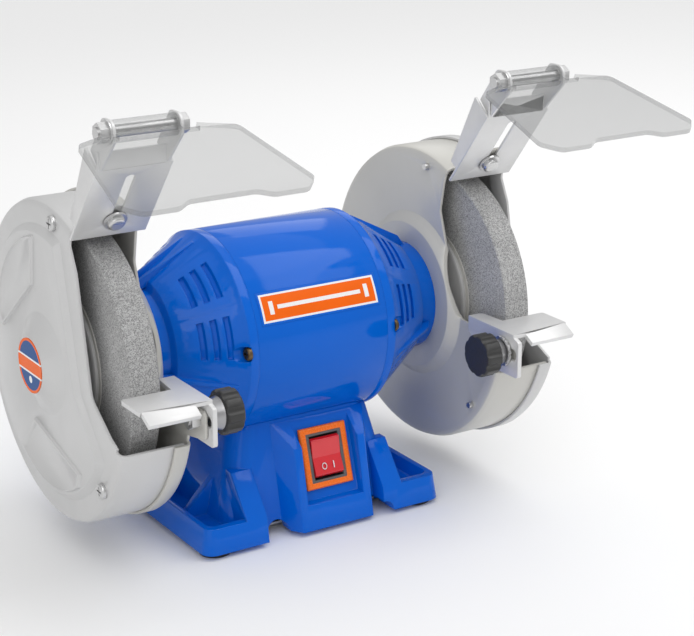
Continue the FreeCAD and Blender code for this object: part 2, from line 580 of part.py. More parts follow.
def end_bell():
    """Right-hand end bell: cone with blind louvre slots, bearing pocket and neck."""
    inside = BARREL_RADIUS - BARREL_WALL
    pocket_end = BEARING_X + BEARING_WIDTH
    profile = [
        (BARREL_HALF_LENGTH - SPIGOT_LENGTH, inside),
        (BARREL_HALF_LENGTH, inside),
        (BARREL_HALF_LENGTH, BARREL_RADIUS),
        (BELL_SHOULDER_X - 1, BARREL_RADIUS),
        (BELL_SHOULDER_X, BARREL_RADIUS - 1),
        (BELL_CONE_END_X, BELL_CONE_END_RADIUS),
        (BELL_CONE_END_X + 1.5, NECK_RADIUS),
        (NECK_END_X, NECK_RADIUS),
        (NECK_END_X, 10.0),
        (pocket_end, 10.0),
        (pocket_end, BEARING_OUTER_RADIUS),
        (BEARING_X - 2, BEARING_OUTER_RADIUS),
        (BEARING_X - 2, BEARING_OUTER_RADIUS + 4.0),
        (BELL_CONE_END_X - 5, BEARING_OUTER_RADIUS + 5.5),
        (BELL_CONE_END_X - 5, BELL_CONE_END_RADIUS - BELL_WALL),
        (BELL_SHOULDER_X, inside - BELL_WALL + 1),
        (BARREL_HALF_LENGTH - SPIGOT_LENGTH, inside - BELL_WALL + 1),
    ]
    bell = turned_x(profile)
    slot_floor = turned_x([
        (BELL_SHOULDER_X, 0), (BELL_SHOULDER_X, bell_radius(BELL_SHOULDER_X) - VENT_DEPTH),
        (BELL_CONE_END_X, BELL_CONE_END_RADIUS - VENT_DEPTH), (BELL_CONE_END_X, 0),
    ])
    for angle in VENT_ANGLES:
        for x in VENT_POSITIONS:
            reach = bell_radius(x)
            slot = tube_x(reach + 12, reach - 9, x - VENT_WIDTH / 2, x + VENT_WIDTH / 2)
            wedge = [(0, SHAFT_HEIGHT)]
            for turn in (angle - VENT_HALF_ANGLE, angle + VENT_HALF_ANGLE):
                wedge.append(around(turn, 2 * BARREL_RADIUS))
            bell = bell.cut(slot.common(sheet_x(wedge, x - 4, x + 4)).cut(slot_floor))
    for angle in (86.0, 100.0, 196.0, -16.0):
        rib = [
            (BELL_SHOULDER_X + 4, bell_radius(BELL_SHOULDER_X + 4) - 2),
            (BELL_SHOULDER_X + 4, bell_radius(BELL_SHOULDER_X + 4) + 0.4),
            (BELL_CONE_END_X + 4, BELL_CONE_END_RADIUS + 1.5),
            (NECK_END_X - 3, NECK_RADIUS - 0.5),
            (BELL_CONE_END_X, BELL_CONE_END_RADIUS - 3),
        ]
        points = [V(x, -1.2, SHAFT_HEIGHT + r) for x, r in rib]
        points.append(points[0])
        web = Part.Face(Part.makePolygon(points)).extrude(V(0, 2.4, 0))
        web.rotate(V(0, 0, SHAFT_HEIGHT), V(1, 0, 0), 90 - angle)
        bell = bell.fuse(web)
    for angle in BELL_SCREW_ANGLES:
        y, z = around(angle, BELL_SCREW_CIRCLE)
        bell = bell.cut(rod_x(BELL_SCREW_HEAD_RADIUS + 0.6, BELL_SHOULDER_X - 1.5, BELL_CONE_END_X, y, z))
        bell = bell.cut(rod_x(BELL_SCREW_RADIUS + 0.1, BARREL_HALF_LENGTH - 4, BELL_CONE_END_X, y, z))
    for angle in GUARD_SCREW_ANGLES:
        y, z = around(angle, GUARD_SCREW_CIRCLE)
        bell = bell.cut(rod_x(GUARD_SCREW_RADIUS, NECK_END_X - 11, NECK_END_X + 1, y, z))
    return bell


def end_bell_screws():
    """Screws that hold both end bells to the barrel."""
    screws = []
    for angle in BELL_SCREW_ANGLES:
        y, z = around(angle, BELL_SCREW_CIRCLE)
        seat = BELL_SHOULDER_X - 1.5
        head = pan_head_x(BELL_SCREW_HEAD_RADIUS, 2.6, seat, 1, y, z)
        screw = head.fuse(rod_x(BELL_SCREW_RADIUS, BARREL_HALF_LENGTH - BELL_SCREW_DEPTH, seat, y, z))
        screws.append(screw)
        screws.append(mirrored(screw))
    return group(screws)


def stator_core():
    """Laminated stator ring pressed in the barrel."""
    outside = BARREL_RADIUS - BARREL_WALL
    ring = tube_x(outside, STATOR_BORE_RADIUS, -STATOR_HALF_LENGTH, STATOR_HALF_LENGTH)
    for i in range(12):
        y, z = around(30 * i, STATOR_BORE_RADIUS + 7)
        ring = ring.cut(rod_x(4.2, -40, 40, y, z))
    return ring


def stator_windings():
    """End turns of the coils, one ring at each end of the stator."""
    rings = []
    for end in (-1, 1):
        inner = end * STATOR_HALF_LENGTH
        outer = end * (STATOR_HALF_LENGTH + WINDING_LENGTH)
        ring = tube_x(STATOR_BORE_RADIUS + 14, STATOR_BORE_RADIUS + 2.5, min(inner, outer), max(inner, outer))
        outer_edges = [edge for edge in ring.Edges if edge.Closed and abs(edge.CenterOfMass.x - outer) < 0.1]
        rings.append(ring.makeFillet(3.0, outer_edges))
    return group(rings)


def bearing_outer_rings():
    """Outer rings with their shields, pressed in the end bells."""
    ring = tube_x(
        BEARING_OUTER_RADIUS,
        BEARING_SPLIT_RADIUS + RUNNING_CLEARANCE,
        BEARING_X,
        BEARING_X + BEARING_WIDTH,
    )
    return group([ring, mirrored(ring)])


def bearing_inner_rings():
    """Inner rings on the shaft."""
    ring = tube_x(BEARING_SPLIT_RADIUS, BEARING_BORE_RADIUS, BEARING_X, BEARING_X + BEARING_WIDTH)
    return group([ring, mirrored(ring)])


def shaft():
    """Turned spindle with a wheel seat and thread at each end."""
    shoulder = WHEEL_INNER_X - BLOTTER_THICKNESS - CLAMP_FLANGE_THICKNESS
    half = [
        (0, SHAFT_RADIUS),
        (BEARING_X, SHAFT_RADIUS),
        (BEARING_X, BEARING_BORE_RADIUS),
        (shoulder, BEARING_BORE_RADIUS),
        (shoulder, WHEEL_BORE_RADIUS),
        (SPINDLE_END_X - 1.2, WHEEL_BORE_RADIUS),
        (SPINDLE_END_X, WHEEL_BORE_RADIUS - 1.2),
    ]
    profile = [(-x, r) for x, r in reversed(half)] + half[1:]
    return turned_x([(-SPINDLE_END_X, 0)] + profile + [(SPINDLE_END_X, 0)])


def rotor_core():
    """Squirrel-cage rotor on the shaft."""
    outside = STATOR_BORE_RADIUS - AIR_GAP
    core = tube_x(outside, SHAFT_RADIUS, -STATOR_HALF_LENGTH, STATOR_HALF_LENGTH)
    for end in (-1, 1):
        inner = end * STATOR_HALF_LENGTH
        outer = end * (STATOR_HALF_LENGTH + 5)
        core = core.fuse(tube_x(outside - 1.5, outside - 9, min(inner, outer), max(inner, outer)))
    return core


def grinding_wheel():
    """Straight vitrified wheel on the right-hand side."""
    outer_x = WHEEL_INNER_X + WHEEL_WIDTH
    profile = [
        (WHEEL_INNER_X, WHEEL_BORE_RADIUS),
        (WHEEL_INNER_X, WHEEL_RADIUS - 0.8),
        (WHEEL_INNER_X + 0.8, WHEEL_RADIUS),
        (outer_x - 0.8, WHEEL_RADIUS),
        (outer_x, WHEEL_RADIUS - 0.8),
        (outer_x, WHEEL_BORE_RADIUS),
    ]
    return turned_x(profile)


def wheel_blotters():
    """Paper washers on both faces of both wheels."""
    discs = []
    for x in (WHEEL_INNER_X - BLOTTER_THICKNESS, WHEEL_INNER_X + WHEEL_WIDTH):
        disc = tube_x(BLOTTER_RADIUS, WHEEL_BORE_RADIUS, x, x + BLOTTER_THICKNESS)
        discs.append(disc)
        discs.append(mirrored(disc))
    return group(discs)


def clamp_flange(contact_x, direction):
    """Dished steel flange whose rim bears on a blotter at contact_x."""
    back = contact_x + direction * CLAMP_FLANGE_THICKNESS
    profile = [
        (back, WHEEL_BORE_RADIUS),
        (back, CLAMP_FLANGE_RADIUS - 14),
        (contact_x + direction * 2.2, CLAMP_FLANGE_RADIUS - 1),
        (contact_x + direction * 1.6, CLAMP_FLANGE_RADIUS),
        (contact_x, CLAMP_FLANGE_RADIUS),
        (contact_x, CLAMP_FLANGE_RADIUS - 8),
        (contact_x + direction * 1.2, CLAMP_FLANGE_RADIUS - 9),
        (contact_x + direction * 1.2, WHEEL_BORE_RADIUS),
    ]
    return turned_x(profile)


def inner_flanges():
    """Flanges on the motor side of the wheels."""
    flange = clamp_flange(WHEEL_INNER_X - BLOTTER_THICKNESS, -1)
    return group([flange, mirrored(flange)])


def outer_flanges():
    """Flanges under the spindle nuts."""
    flange = clamp_flange(WHEEL_INNER_X + WHEEL_WIDTH + BLOTTER_THICKNESS, 1)
    return group([flange, mirrored(flange)])


def spindle_nut():
    """Right-hand spindle nut."""
    seat = WHEEL_INNER_X + WHEEL_WIDTH + BLOTTER_THICKNESS + CLAMP_FLANGE_THICKNESS
    nut = hexagon_x(SPINDLE_NUT_ACROSS_FLATS, seat, seat + SPINDLE_NUT_HEIGHT, 0, SHAFT_HEIGHT)
    corner = SPINDLE_NUT_ACROSS_FLATS / math.sqrt(3)
    dome = turned_x([
        (seat, 0),
        (seat, corner + 1),
        (seat + SPINDLE_NUT_HEIGHT - 1.6, corner + 0.2),
        (seat + SPINDLE_NUT_HEIGHT, corner - 2.0),
        (seat + SPINDLE_NUT_HEIGHT, 0),
    ])
    return nut.common(dome).cut(rod_x(WHEEL_BORE_RADIUS, seat - 1, seat + 20))


def band_gap():
    """Wedge that opens the guard bands in front of the wheel."""
    points = [(0, SHAFT_HEIGHT)]
    for angle in (OPENING_LOW_ANGLE, 20.0, OPENING_HIGH_ANGLE):
        points.append(around(angle, 2 * GUARD_RADIUS))
    return sheet_x(points, NECK_END_X - 5, BOSS_TOP_X + 5)


def on_guard(forward, up):
    """(y, z) at shares of the guard's radius in front of and above the shaft."""
    return -forward * GUARD_RADIUS, SHAFT_HEIGHT + up * GUARD_RADIUS


def in_front_of_guard():
    """Two corners well in front of the guard, for outlines of openings."""
    return [on_guard(1.7, -0.2), on_guard(1.7, 1.3)]


def outer_face_cut():
    """Area removed from the outer cover's face for access to the wheel."""
    high = around(OPENING_HIGH_ANGLE + 3, 1.15 * GUARD_RADIUS)
    low = around(OPENING_LOW_ANGLE, 1.15 * GUARD_RADIUS)
    edge = [on_guard(0.375, 0.813), on_guard(0.446, 0.666), on_guard(0.585, -0.057), on_guard(0.824, -0.225)]
    points = [high] + edge + [low] + in_front_of_guard()
    return sheet_x(points, NECK_END_X - 5, BOSS_TOP_X + 5, [0, 0, 4, 8, 4, 0, 0, 0])


def inner_face_cut():
    """Area removed from the inner plate's face, above the tool rest ear."""
    high = around(OPENING_HIGH_ANGLE + 3, 1.15 * GUARD_RADIUS)
    edge = [on_guard(0.34, 0.83), on_guard(0.303, 0.636), on_guard(0.397, 0.355), on_guard(0.507, 0.084)]
    inside = (-0.548 * GUARD_RADIUS, EAR_TOP_Z)
    front = in_front_of_guard()
    points = [high] + edge + [inside, (front[0][0], EAR_TOP_Z), front[1]]
    return sheet_x(points, NECK_END_X - 5, BOSS_TOP_X + 5, [0, 0, 6, 10, 10, 5, 0, 0])


def pan_profile(face_x, toward, depth, radius, edge):
    """(x, radius) section of a sheet pan with its face at face_x."""
    step = edge * 0.3
    inner_x = face_x + toward * SHEET
    return [
        (face_x, 0.0),
        (face_x, radius - edge),
        (face_x + toward * step, radius - step),
        (face_x + toward * edge, radius),
        (face_x + toward * depth, radius),
        (face_x + toward * depth, radius - SHEET),
        (face_x + toward * edge, radius - SHEET),
        (inner_x + toward * step * 0.6, radius - SHEET - step * 0.6),
        (inner_x, radius - edge),
        (inner_x, 0.0),
    ]


def plateau():
    """Raised main face of the outer cover, sloped down to the lip at the opening."""
    base_x = GUARD_OUTER_X - 0.5
    top_x = GUARD_OUTER_X + PLATEAU_HEIGHT
    raised = turned_x([
        (base_x, 0), (base_x, PLATEAU_RADIUS + PLATEAU_SLOPE), (top_x, PLATEAU_RADIUS), (top_x, 0),
    ])
    sections = []
    for x, back in ((base_x - 3, -0.5), (top_x + 1, 1.3)):
        shift = back * PLATEAU_SLOPE / GUARD_RADIUS
        line = [on_guard(0.22 - shift, 1.0), on_guard(0.47 - shift, -0.07)]
        line.append(on_guard(0.86 - shift, -0.5 - shift))
        points = line + in_front_of_guard()
        sections.append(rounded_wire(points, [0] * 5, lambda y, z, x=x: V(x, y, z)))
    return raised.cut(taper(sections[0], sections[1]))


def cover_boss():
    """Raised centre of the outer cover, as (solid, hollow)."""
    face = GUARD_OUTER_X + PLATEAU_HEIGHT
    solid = turned_x([
        (face - SHEET, 0), (BOSS_TOP_X, 0), (BOSS_TOP_X, BOSS_TOP_RADIUS - 1.0),
        (BOSS_TOP_X - 1.0, BOSS_TOP_RADIUS), (face + 0.6, BOSS_FOOT_RADIUS - 1.2),
        (face, BOSS_FOOT_RADIUS), (face - SHEET, BOSS_FOOT_RADIUS),
    ])
    hollow = turned_x([
        (face - SHEET - 1, 0), (BOSS_TOP_X - SHEET, 0), (BOSS_TOP_X - SHEET, BOSS_TOP_RADIUS - 2.0),
        (face - 0.6, BOSS_FOOT_RADIUS - 3.6), (face - SHEET, BOSS_FOOT_RADIUS - 2.4),
        (face - SHEET - 1, BOSS_FOOT_RADIUS - 2.4),
    ])
    return solid, hollow


def emboss_pads():
    """Two shallow pressed pads beside the boss, each with a smaller step on top."""
    lower = [
        (0.115, -0.334), (0.475, -0.552), (0.415, -0.6), (0.328, -0.631), (0.231, -0.617),
        (0.14, -0.566), (0.058, -0.496), (0.02, -0.42),
    ]
    upper = [
        (-0.023, 0.68), (-0.017, 0.53), (-0.254, 0.242), (-0.294, 0.265), (-0.31, 0.369),
        (-0.25, 0.507), (-0.167, 0.623), (-0.092, 0.672),
    ]
    face = GUARD_OUTER_X + PLATEAU_HEIGHT
    pads = []
    for outline in (lower, upper):
        middle = [sum(point[i] for point in outline) / len(outline) for i in (0, 1)]
        for share, height in ((1.0, PAD_HEIGHT), (0.78, 2 * PAD_HEIGHT)):
            points = []
            for forward, up in outline:
                points.append(on_guard(
                    middle[0] + share * (forward - middle[0]), middle[1] + share * (up - middle[1])))
            pads.append(sheet_x(points, face - 0.5, face + height, [1.5, 1.5] + [0] * 6))
    return pads


def outer_cover(deep):
    """Right-hand outer cover, deep with the band or shallow with a flange."""
    if deep:
        radius = GUARD_RADIUS
        depth = GUARD_OUTER_X - GUARD_INNER_X - SHEET - BAND_END_GAP
        edge = 4.0
    else:
        radius = GUARD_RADIUS + BAND_SEAM_GAP + SHEET
        depth = BAND_OVERLAP + SHEET
        edge = 2.5
    cover = turned_x(pan_profile(GUARD_OUTER_X, -1, depth, radius, edge))
    raised = plateau()
    cover = cover.fuse(raised).cut(raised.translated(V(-SHEET, 0, 0)))
    solid, hollow = cover_boss()
    cover = cover.fuse(solid).cut(hollow)
    for pad in emboss_pads():
        cover = cover.fuse(pad)
    cover = cover.cut(band_gap().cut(rod_x(radius - edge - 1, NECK_END_X - 5, BOSS_TOP_X + 5)))
    cover = cover.cut(outer_face_cut())
    if deep:
        cover = cover.fuse(deflector_tab())
    for angle in COVER_SCREW_ANGLES:
        y, z = around(angle, COVER_SCREW_CIRCLE)
        cover = cover.cut(rod_x(COVER_SCREW_RADIUS + 0.2, GUARD_OUTER_X - 4, GUARD_OUTER_X + 3, y, z))
    return cover


def inner_plate(deep):
    """Right-hand inner plate on the motor's neck, deep or shallow."""
    if deep:
        radius = GUARD_RADIUS
        depth = GUARD_OUTER_X - GUARD_INNER_X - SHEET - BAND_END_GAP
        edge = 4.0
    else:
        radius = GUARD_RADIUS + BAND_SEAM_GAP + SHEET
        depth = BAND_OVERLAP + SHEET
        edge = 2.5
    plate = turned_x(pan_profile(GUARD_INNER_X, 1, depth, radius, edge))
    drop = GUARD_INNER_X - NECK_END_X
    ring = turned_x([
        (GUARD_INNER_X + SHEET, 48), (GUARD_INNER_X, 50), (GUARD_INNER_X, 48.5), (NECK_END_X, 43),
        (NECK_END_X, 0), (NECK_END_X + SHEET, 0), (NECK_END_X + SHEET, 42), (GUARD_INNER_X + SHEET, 47),
    ])
    plate = plate.cut(rod_x(48, GUARD_INNER_X - 1, GUARD_INNER_X + drop)).fuse(ring)
    plate = plate.cut(band_gap().cut(rod_x(radius - edge - 1, NECK_END_X - 5, BOSS_TOP_X + 5)))
    ear = sheet_x(
        [(REST_BACK_Y, EAR_TOP_Z), (EAR_TIP_Y, EAR_TOP_Z), (EAR_TIP_Y, EAR_LOW_Z),
         (STUD_Y + 8, EAR_LOW_Z - 3), (REST_BACK_Y, EAR_LOW_Z - 5)],
        GUARD_INNER_X,
        GUARD_INNER_X + SHEET,
        [0, 3, 3, 0, 0],
    )
    plate = plate.cut(inner_face_cut()).fuse(ear)
    if deep:
        plate = plate.fuse(deflector_tab())
    plate = plate.cut(rod_x(BEARING_BORE_RADIUS + 5.5, NECK_END_X - 5, GUARD_CENTRE_X))
    plate = plate.cut(rod_x(STUD_RADIUS + 0.4, NECK_END_X - 5, GUARD_CENTRE_X, STUD_Y, STUD_Z))
    for angle in GUARD_SCREW_ANGLES:
        y, z = around(angle, GUARD_SCREW_CIRCLE)
        plate = plate.cut(rod_x(GUARD_SCREW_RADIUS + 0.1, NECK_END_X - 5, GUARD_CENTRE_X, y, z))
    for angle in COVER_SCREW_ANGLES:
        y, z = around(angle, COVER_SCREW_CIRCLE)
        plate = plate.cut(rod_x(COVER_SCREW_RADIUS, GUARD_INNER_X - 3, GUARD_INNER_X + 4, y, z))
    return plate


def along_bracket(s, off):
    """(y, z) at s up the deflector's front face and off behind it."""
    lean = math.radians(BRACKET_LEAN)
    y = BRACKET_FOOT_Y - s * math.sin(lean) + off * math.cos(lean)
    z = BRACKET_FOOT_Z + s * math.cos(lean) + off * math.sin(lean)
    return y, z


def across_bracket(radius, s, off0, off1):
    """Round bar square to the deflector's face, on the guard's centre."""
    y0, z0 = along_bracket(s, off0)
    y1, z1 = along_bracket(s, off1)
    start = V(GUARD_CENTRE_X, y0, z0)
    return Part.makeCylinder(radius, abs(off1 - off0), start, V(0, y1 - y0, z1 - z0))


TAB_FRONT = SHEET + MOVING_GAP
TAB_BACK = TAB_FRONT + SHEET


def deflector_tab():
    """Tongue on the guard band behind the deflector, for its clamp screw."""
    foot_y, foot_z = around(OPENING_HIGH_ANGLE + 1.5, GUARD_RADIUS - SHEET)
    back_y, back_z = around(OPENING_HIGH_ANGLE + 4.0, GUARD_RADIUS - 0.2)
    points = [
        along_bracket(21, TAB_FRONT), along_bracket(5.0, TAB_FRONT), (foot_y, foot_z), (back_y, back_z),
        along_bracket(6.5, TAB_BACK), along_bracket(21, TAB_BACK),
    ]
    tab = sheet_x(points, GUARD_CENTRE_X - 9, GUARD_CENTRE_X + 9)
    return tab.cut(across_bracket(CLAMP_SCREW_RADIUS + 0.2, BRACKET_SCREW_AT, 0, 12))


def deflector():
    """Right-hand spark deflector: slotted plate, side flanges, hinge ears."""
    left = GUARD_CENTRE_X - BRACKET_HALF_WIDTH
    right = GUARD_CENTRE_X + BRACKET_HALF_WIDTH
    top = BRACKET_LENGTH
    plate = sheet_x(
        [along_bracket(0, 0), along_bracket(top, 0), along_bracket(top, SHEET), along_bracket(0, SHEET)],
        left,
        right,
    )
    side = [along_bracket(10, 0), along_bracket(top, 0), along_bracket(top, 15), along_bracket(10, 7)]
    plate = plate.fuse(sheet_x(side, left, left + SHEET)).fuse(sheet_x(side, right - SHEET, right))
    bend_y, bend_z = along_bracket(top, 0)
    back_y, back_z = along_bracket(top, SHEET)
    crown = sheet_x(
        [(bend_y, bend_z), (bend_y - 0.6, bend_z + 9.0), (bend_y + 0.9, bend_z + 9.2), (back_y, back_z)],
        left + 1.0,
        right - 1.0,
    )
    plate = plate.fuse(crown)
    ear = sheet_x(
        [(bend_y + 1, bend_z - 1), (HINGE_Y - 6.2, HINGE_Z - 4), (HINGE_Y - 6.2, HINGE_Z + 6),
         (HINGE_Y + 6, HINGE_Z + 6), (bend_y + 10, bend_z + 8)],
        GUARD_CENTRE_X - HINGE_EAR_X - SHEET,
        GUARD_CENTRE_X - HINGE_EAR_X,
        [0, 4, 5.5, 4, 0],
    )
    plate = plate.fuse(ear)
    ear.translate(V(2 * HINGE_EAR_X + SHEET, 0, 0))
    plate = plate.fuse(ear)
    for end in (-1, 1):
        centre = GUARD_CENTRE_X + end * (HINGE_EAR_X + SHEET / 2)
        plate = plate.cut(rod_x(HINGE_PIN_RADIUS, centre - 3, centre + 3, HINGE_Y, HINGE_Z))
    low = across_bracket(BRACKET_SLOT_RADIUS, BRACKET_SCREW_AT, -3, 4)
    high = across_bracket(BRACKET_SLOT_RADIUS, BRACKET_SLOT_END, -3, 4)
    y0, z0 = along_bracket(BRACKET_SCREW_AT, -3)
    y1, z1 = along_bracket(BRACKET_SLOT_END, -3)
    y2, z2 = along_bracket(BRACKET_SLOT_END, 4)
    y3, z3 = along_bracket(BRACKET_SCREW_AT, 4)
    straight = sheet_x(
        [(y0, z0), (y1, z1), (y2, z2), (y3, z3)],
        GUARD_CENTRE_X - BRACKET_SLOT_RADIUS,
        GUARD_CENTRE_X + BRACKET_SLOT_RADIUS,
    )
    return plate.cut(low).cut(high).cut(straight)


def deflector_screws():
    """Clamp screws with their heads in front of the deflector plates."""
    head = across_bracket(4.6, BRACKET_SCREW_AT, -MOVING_GAP - 3.9, -MOVING_GAP - 1.2)
    edges = [edge for edge in head.Edges if edge.Closed]
    front = min(edges, key=lambda edge: edge.CenterOfMass.y)
    head = head.makeFillet(1.4, [front])
    screw = head.fuse(across_bracket(CLAMP_SCREW_RADIUS, BRACKET_SCREW_AT, -MOVING_GAP - 1.2, TAB_BACK + 7.0))
    return group([screw, mirrored(screw)])


def deflector_washers():
    """Washers under the clamp screw heads."""
    washer = across_bracket(6.2, BRACKET_SCREW_AT, -MOVING_GAP - 1.2, -MOVING_GAP)
    washer = washer.cut(across_bracket(CLAMP_SCREW_RADIUS, BRACKET_SCREW_AT, -5, 5))
    return group([washer, mirrored(washer)])


def deflector_nuts():
    """Nuts behind the guard tongues."""
    y, z = along_bracket(BRACKET_SCREW_AT, TAB_BACK)
    nut = hexagon_x(8.0, 0, 4.0, 0, 0)
    nut = nut.cut(Part.makeCylinder(CLAMP_SCREW_RADIUS, 10, V(-1, 0, 0), V(1, 0, 0)))
    nut.rotate(V(0, 0, 0), V(0, 0, 1), 90)
    nut.rotate(V(0, 0, 0), V(1, 0, 0), BRACKET_LEAN)
    nut.translate(V(GUARD_CENTRE_X, y, z))
    return group([nut, mirrored(nut)])


def hinge_bolt():
    """Right-hand hinge bolt through the deflector's ears."""
    start = GUARD_CENTRE_X - HINGE_EAR_X - 8.0
    seat = GUARD_CENTRE_X + HINGE_EAR_X + SHEET
    bolt = rod_x(HINGE_PIN_RADIUS, start, seat, HINGE_Y, HINGE_Z)
    return bolt.fuse(hexagon_x(9.0, seat, seat + 4.0, HINGE_Y, HINGE_Z))


def hinge_nut():
    """Lock nut on the hinge bolt, with its washer."""
    seat = GUARD_CENTRE_X - HINGE_EAR_X - SHEET
    nut = hexagon_x(9.0, seat - 5.6, seat - 1.0, HINGE_Y, HINGE_Z)
    nut = nut.fuse(rod_x(6.0, seat - 1.0, seat, HINGE_Y, HINGE_Z))
    return nut.cut(rod_x(HINGE_PIN_RADIUS, seat - 9, seat + 1, HINGE_Y, HINGE_Z))


def eye_shield(centre_x):
    """Clear shield with moulded knuckles on the hinge bolt."""
    middle = SHIELD_SHIFT
    rear = SHIELD_REAR_HALF
    front = SHIELD_FRONT_HALF
    points = [
        (middle - 14, 6.5), (middle - 22, 4.5), (middle - rear, 12), (middle - front, SHIELD_DEPTH - 9),
        (middle - front + 8, SHIELD_DEPTH), (middle - 24, SHIELD_DEPTH), (middle - 17, SHIELD_DEPTH - 5),
        (middle + 17, SHIELD_DEPTH - 5), (middle + 24, SHIELD_DEPTH), (middle + front - 8, SHIELD_DEPTH),
        (middle + front, SHIELD_DEPTH - 9), (middle + rear, 12), (middle + 22, 4.5), (middle + 14, 6.5),
    ]
    radii = [0, 4, 5, 5, 6, 6, 6, 6, 6, 6, 5, 5, 4, 0]
    outline = [(x, -depth) for x, depth in points]
    sheet = sheet_z(outline, -SHIELD_THICKNESS, 0, radii)
    half = HINGE_EAR_X - MOVING_GAP
    drop = 2.0
    knuckle = Part.makeCylinder(KNUCKLE_RADIUS, 2 * half, V(-half, 0, -drop), V(1, 0, 0))
    web = box(-half, half, -9.0, -2.0, -SHIELD_THICKNESS, 0)
    sheet = sheet.fuse(knuckle).fuse(web)
    bore = HINGE_PIN_RADIUS + RUNNING_CLEARANCE
    sheet = sheet.cut(Part.makeCylinder(bore, 80, V(-40, 0, -drop), V(1, 0, 0)))
    relief = HINGE_EAR_X + SHEET + 7.0
    for end in (-1, 1):
        low = min(end * half, end * relief)
        high = max(end * half, end * relief)
        sheet = sheet.cut(box(low, high, -9.0, 9.0, -9, 7))
    sheet = sheet.removeSplitter()
    sheet.rotate(V(0, 0, -drop), V(1, 0, 0), SHIELD_TILT)
    sheet.translate(V(centre_x, HINGE_Y, HINGE_Z + drop))
    return sheet


def tool_rest():
    """Right-hand tool rest: top plate, sloped lip and slotted side flange."""
    under = REST_TOP_Z - REST_SHEET
    wheel_edge = -WHEEL_RADIUS - REST_WHEEL_GAP
    flange_in = REST_FLANGE_X - REST_SHEET
    top = sheet_z(
        [(flange_in, REST_BACK_Y), (flange_in + 9, REST_BACK_Y), (flange_in + 10.5, wheel_edge),
         (REST_END_X, wheel_edge),
         (REST_END_X, REST_BEND_Y), (flange_in + 1, REST_BEND_Y - 3), (flange_in, REST_BEND_Y - 3)],
        under,
        REST_TOP_Z,
        [0, 3, 0, 1.5, 0, 0, 0],
    )
    fall = REST_LIP_FALL
    lip = sheet_x(
        [(REST_BEND_Y + 0.5, REST_TOP_Z), (REST_BEND_Y, REST_TOP_Z), (REST_LIP_Y, REST_TOP_Z - fall),
         (REST_LIP_Y + 1.2, REST_TOP_Z - fall - 2.2), (REST_BEND_Y + 0.5, under)],
        flange_in + 9,
        REST_END_X - 1,
    )
    flange = sheet_x(
        [(REST_BACK_Y, REST_TOP_Z), (REST_BEND_Y + 2, REST_TOP_Z), (REST_FRONT_Y, REST_TOP_Z - 3.5),
         (REST_FRONT_Y, REST_FLANGE_LOW_Z), (STUD_Y + 6, REST_FLANGE_LOW_Z), (REST_BACK_Y, REST_TOP_Z - 9)],
        flange_in,
        REST_FLANGE_X,
        [0, 0, 2, 2, 4, 2],
    )
    rest = top.fuse(lip).fuse(flange)
    x0 = flange_in - 1
    x1 = REST_FLANGE_X + 0.01
    front = STUD_Y - REST_SLOT_FRONT
    back = STUD_Y + REST_TRAVEL
    slot = rod_x(REST_SLOT_RADIUS, x0, x1, front, STUD_Z)
    slot = slot.fuse(rod_x(REST_SLOT_RADIUS, x0, x1, back, STUD_Z))
    slot = slot.fuse(box(x0, x1, front, back, STUD_Z - REST_SLOT_RADIUS, STUD_Z + REST_SLOT_RADIUS))
    return rest.cut(slot).removeSplitter()


WASHER_OUTER_X = REST_FLANGE_X - REST_SHEET - MOVING_GAP
WASHER_INNER_X = WASHER_OUTER_X - CLAMP_WASHER_THICKNESS
KNOB_FACE_X = WASHER_INNER_X - MOVING_GAP


def rest_washer():
    """Right-hand toothed washer between the knob and the rest."""
    washer = rod_x(8.6, WASHER_INNER_X, WASHER_OUTER_X, STUD_Y, STUD_Z)
    for i in range(16):
        turn = math.radians(22.5 * i)
        y = STUD_Y + 8.9 * math.cos(turn)
        z = STUD_Z + 8.9 * math.sin(turn)
        washer = washer.cut(rod_x(0.8, WASHER_INNER_X - 1, WASHER_OUTER_X + 1, y, z))
    bore = STUD_RADIUS + RUNNING_CLEARANCE
    return washer.cut(rod_x(bore, WASHER_INNER_X - 1, WASHER_OUTER_X + 1, STUD_Y, STUD_Z))


def clamp_knob():
    """Right-hand lobed knob with a conical hub towards the washer."""
    head_end = KNOB_FACE_X - KNOB_HUB_LENGTH
    head_start = head_end - KNOB_HEAD_LENGTH
    head = rod_x(KNOB_RADIUS, head_start, head_end, STUD_Y, STUD_Z)
    rims = [edge for edge in head.Edges if edge.Closed]
    head = head.makeFillet(1.6, rims)
    for i in range(KNOB_LOBES):
        turn = 2 * math.pi * i / KNOB_LOBES
        y = STUD_Y + (KNOB_RADIUS + 1.4) * math.cos(turn)
        z = STUD_Z + (KNOB_RADIUS + 1.4) * math.sin(turn)
        head = head.cut(rod_x(2.8, head_start - 1, head_end + 1, y, z))
    hub_start = V(head_end, STUD_Y, STUD_Z)
    hub = Part.makeCone(KNOB_RADIUS - 3.0, KNOB_RADIUS - 4.8, KNOB_HUB_LENGTH, hub_start, V(1, 0, 0))
    head = head.fuse(hub)
    return head.cut(rod_x(STUD_RADIUS, head_start + 3, KNOB_FACE_X + 1, STUD_Y, STUD_Z))


def knob_stud():
    """Right-hand clamp stud moulded into the knob."""
    start = KNOB_FACE_X - KNOB_HUB_LENGTH - KNOB_HEAD_LENGTH + 3
    return rod_x(STUD_RADIUS, start, GUARD_INNER_X + SHEET + 5.5, STUD_Y, STUD_Z)


def rest_clamp_nuts():
    """Nuts fixed to the guard ears, for the clamp studs."""
    seat = GUARD_INNER_X + SHEET
    nut = hexagon_x(10.0, seat, seat + 4.8, STUD_Y, STUD_Z)
    nut = nut.cut(rod_x(STUD_RADIUS + RUNNING_CLEARANCE, seat - 1, seat + 9, STUD_Y, STUD_Z))
    return group([nut, mirrored(nut)])


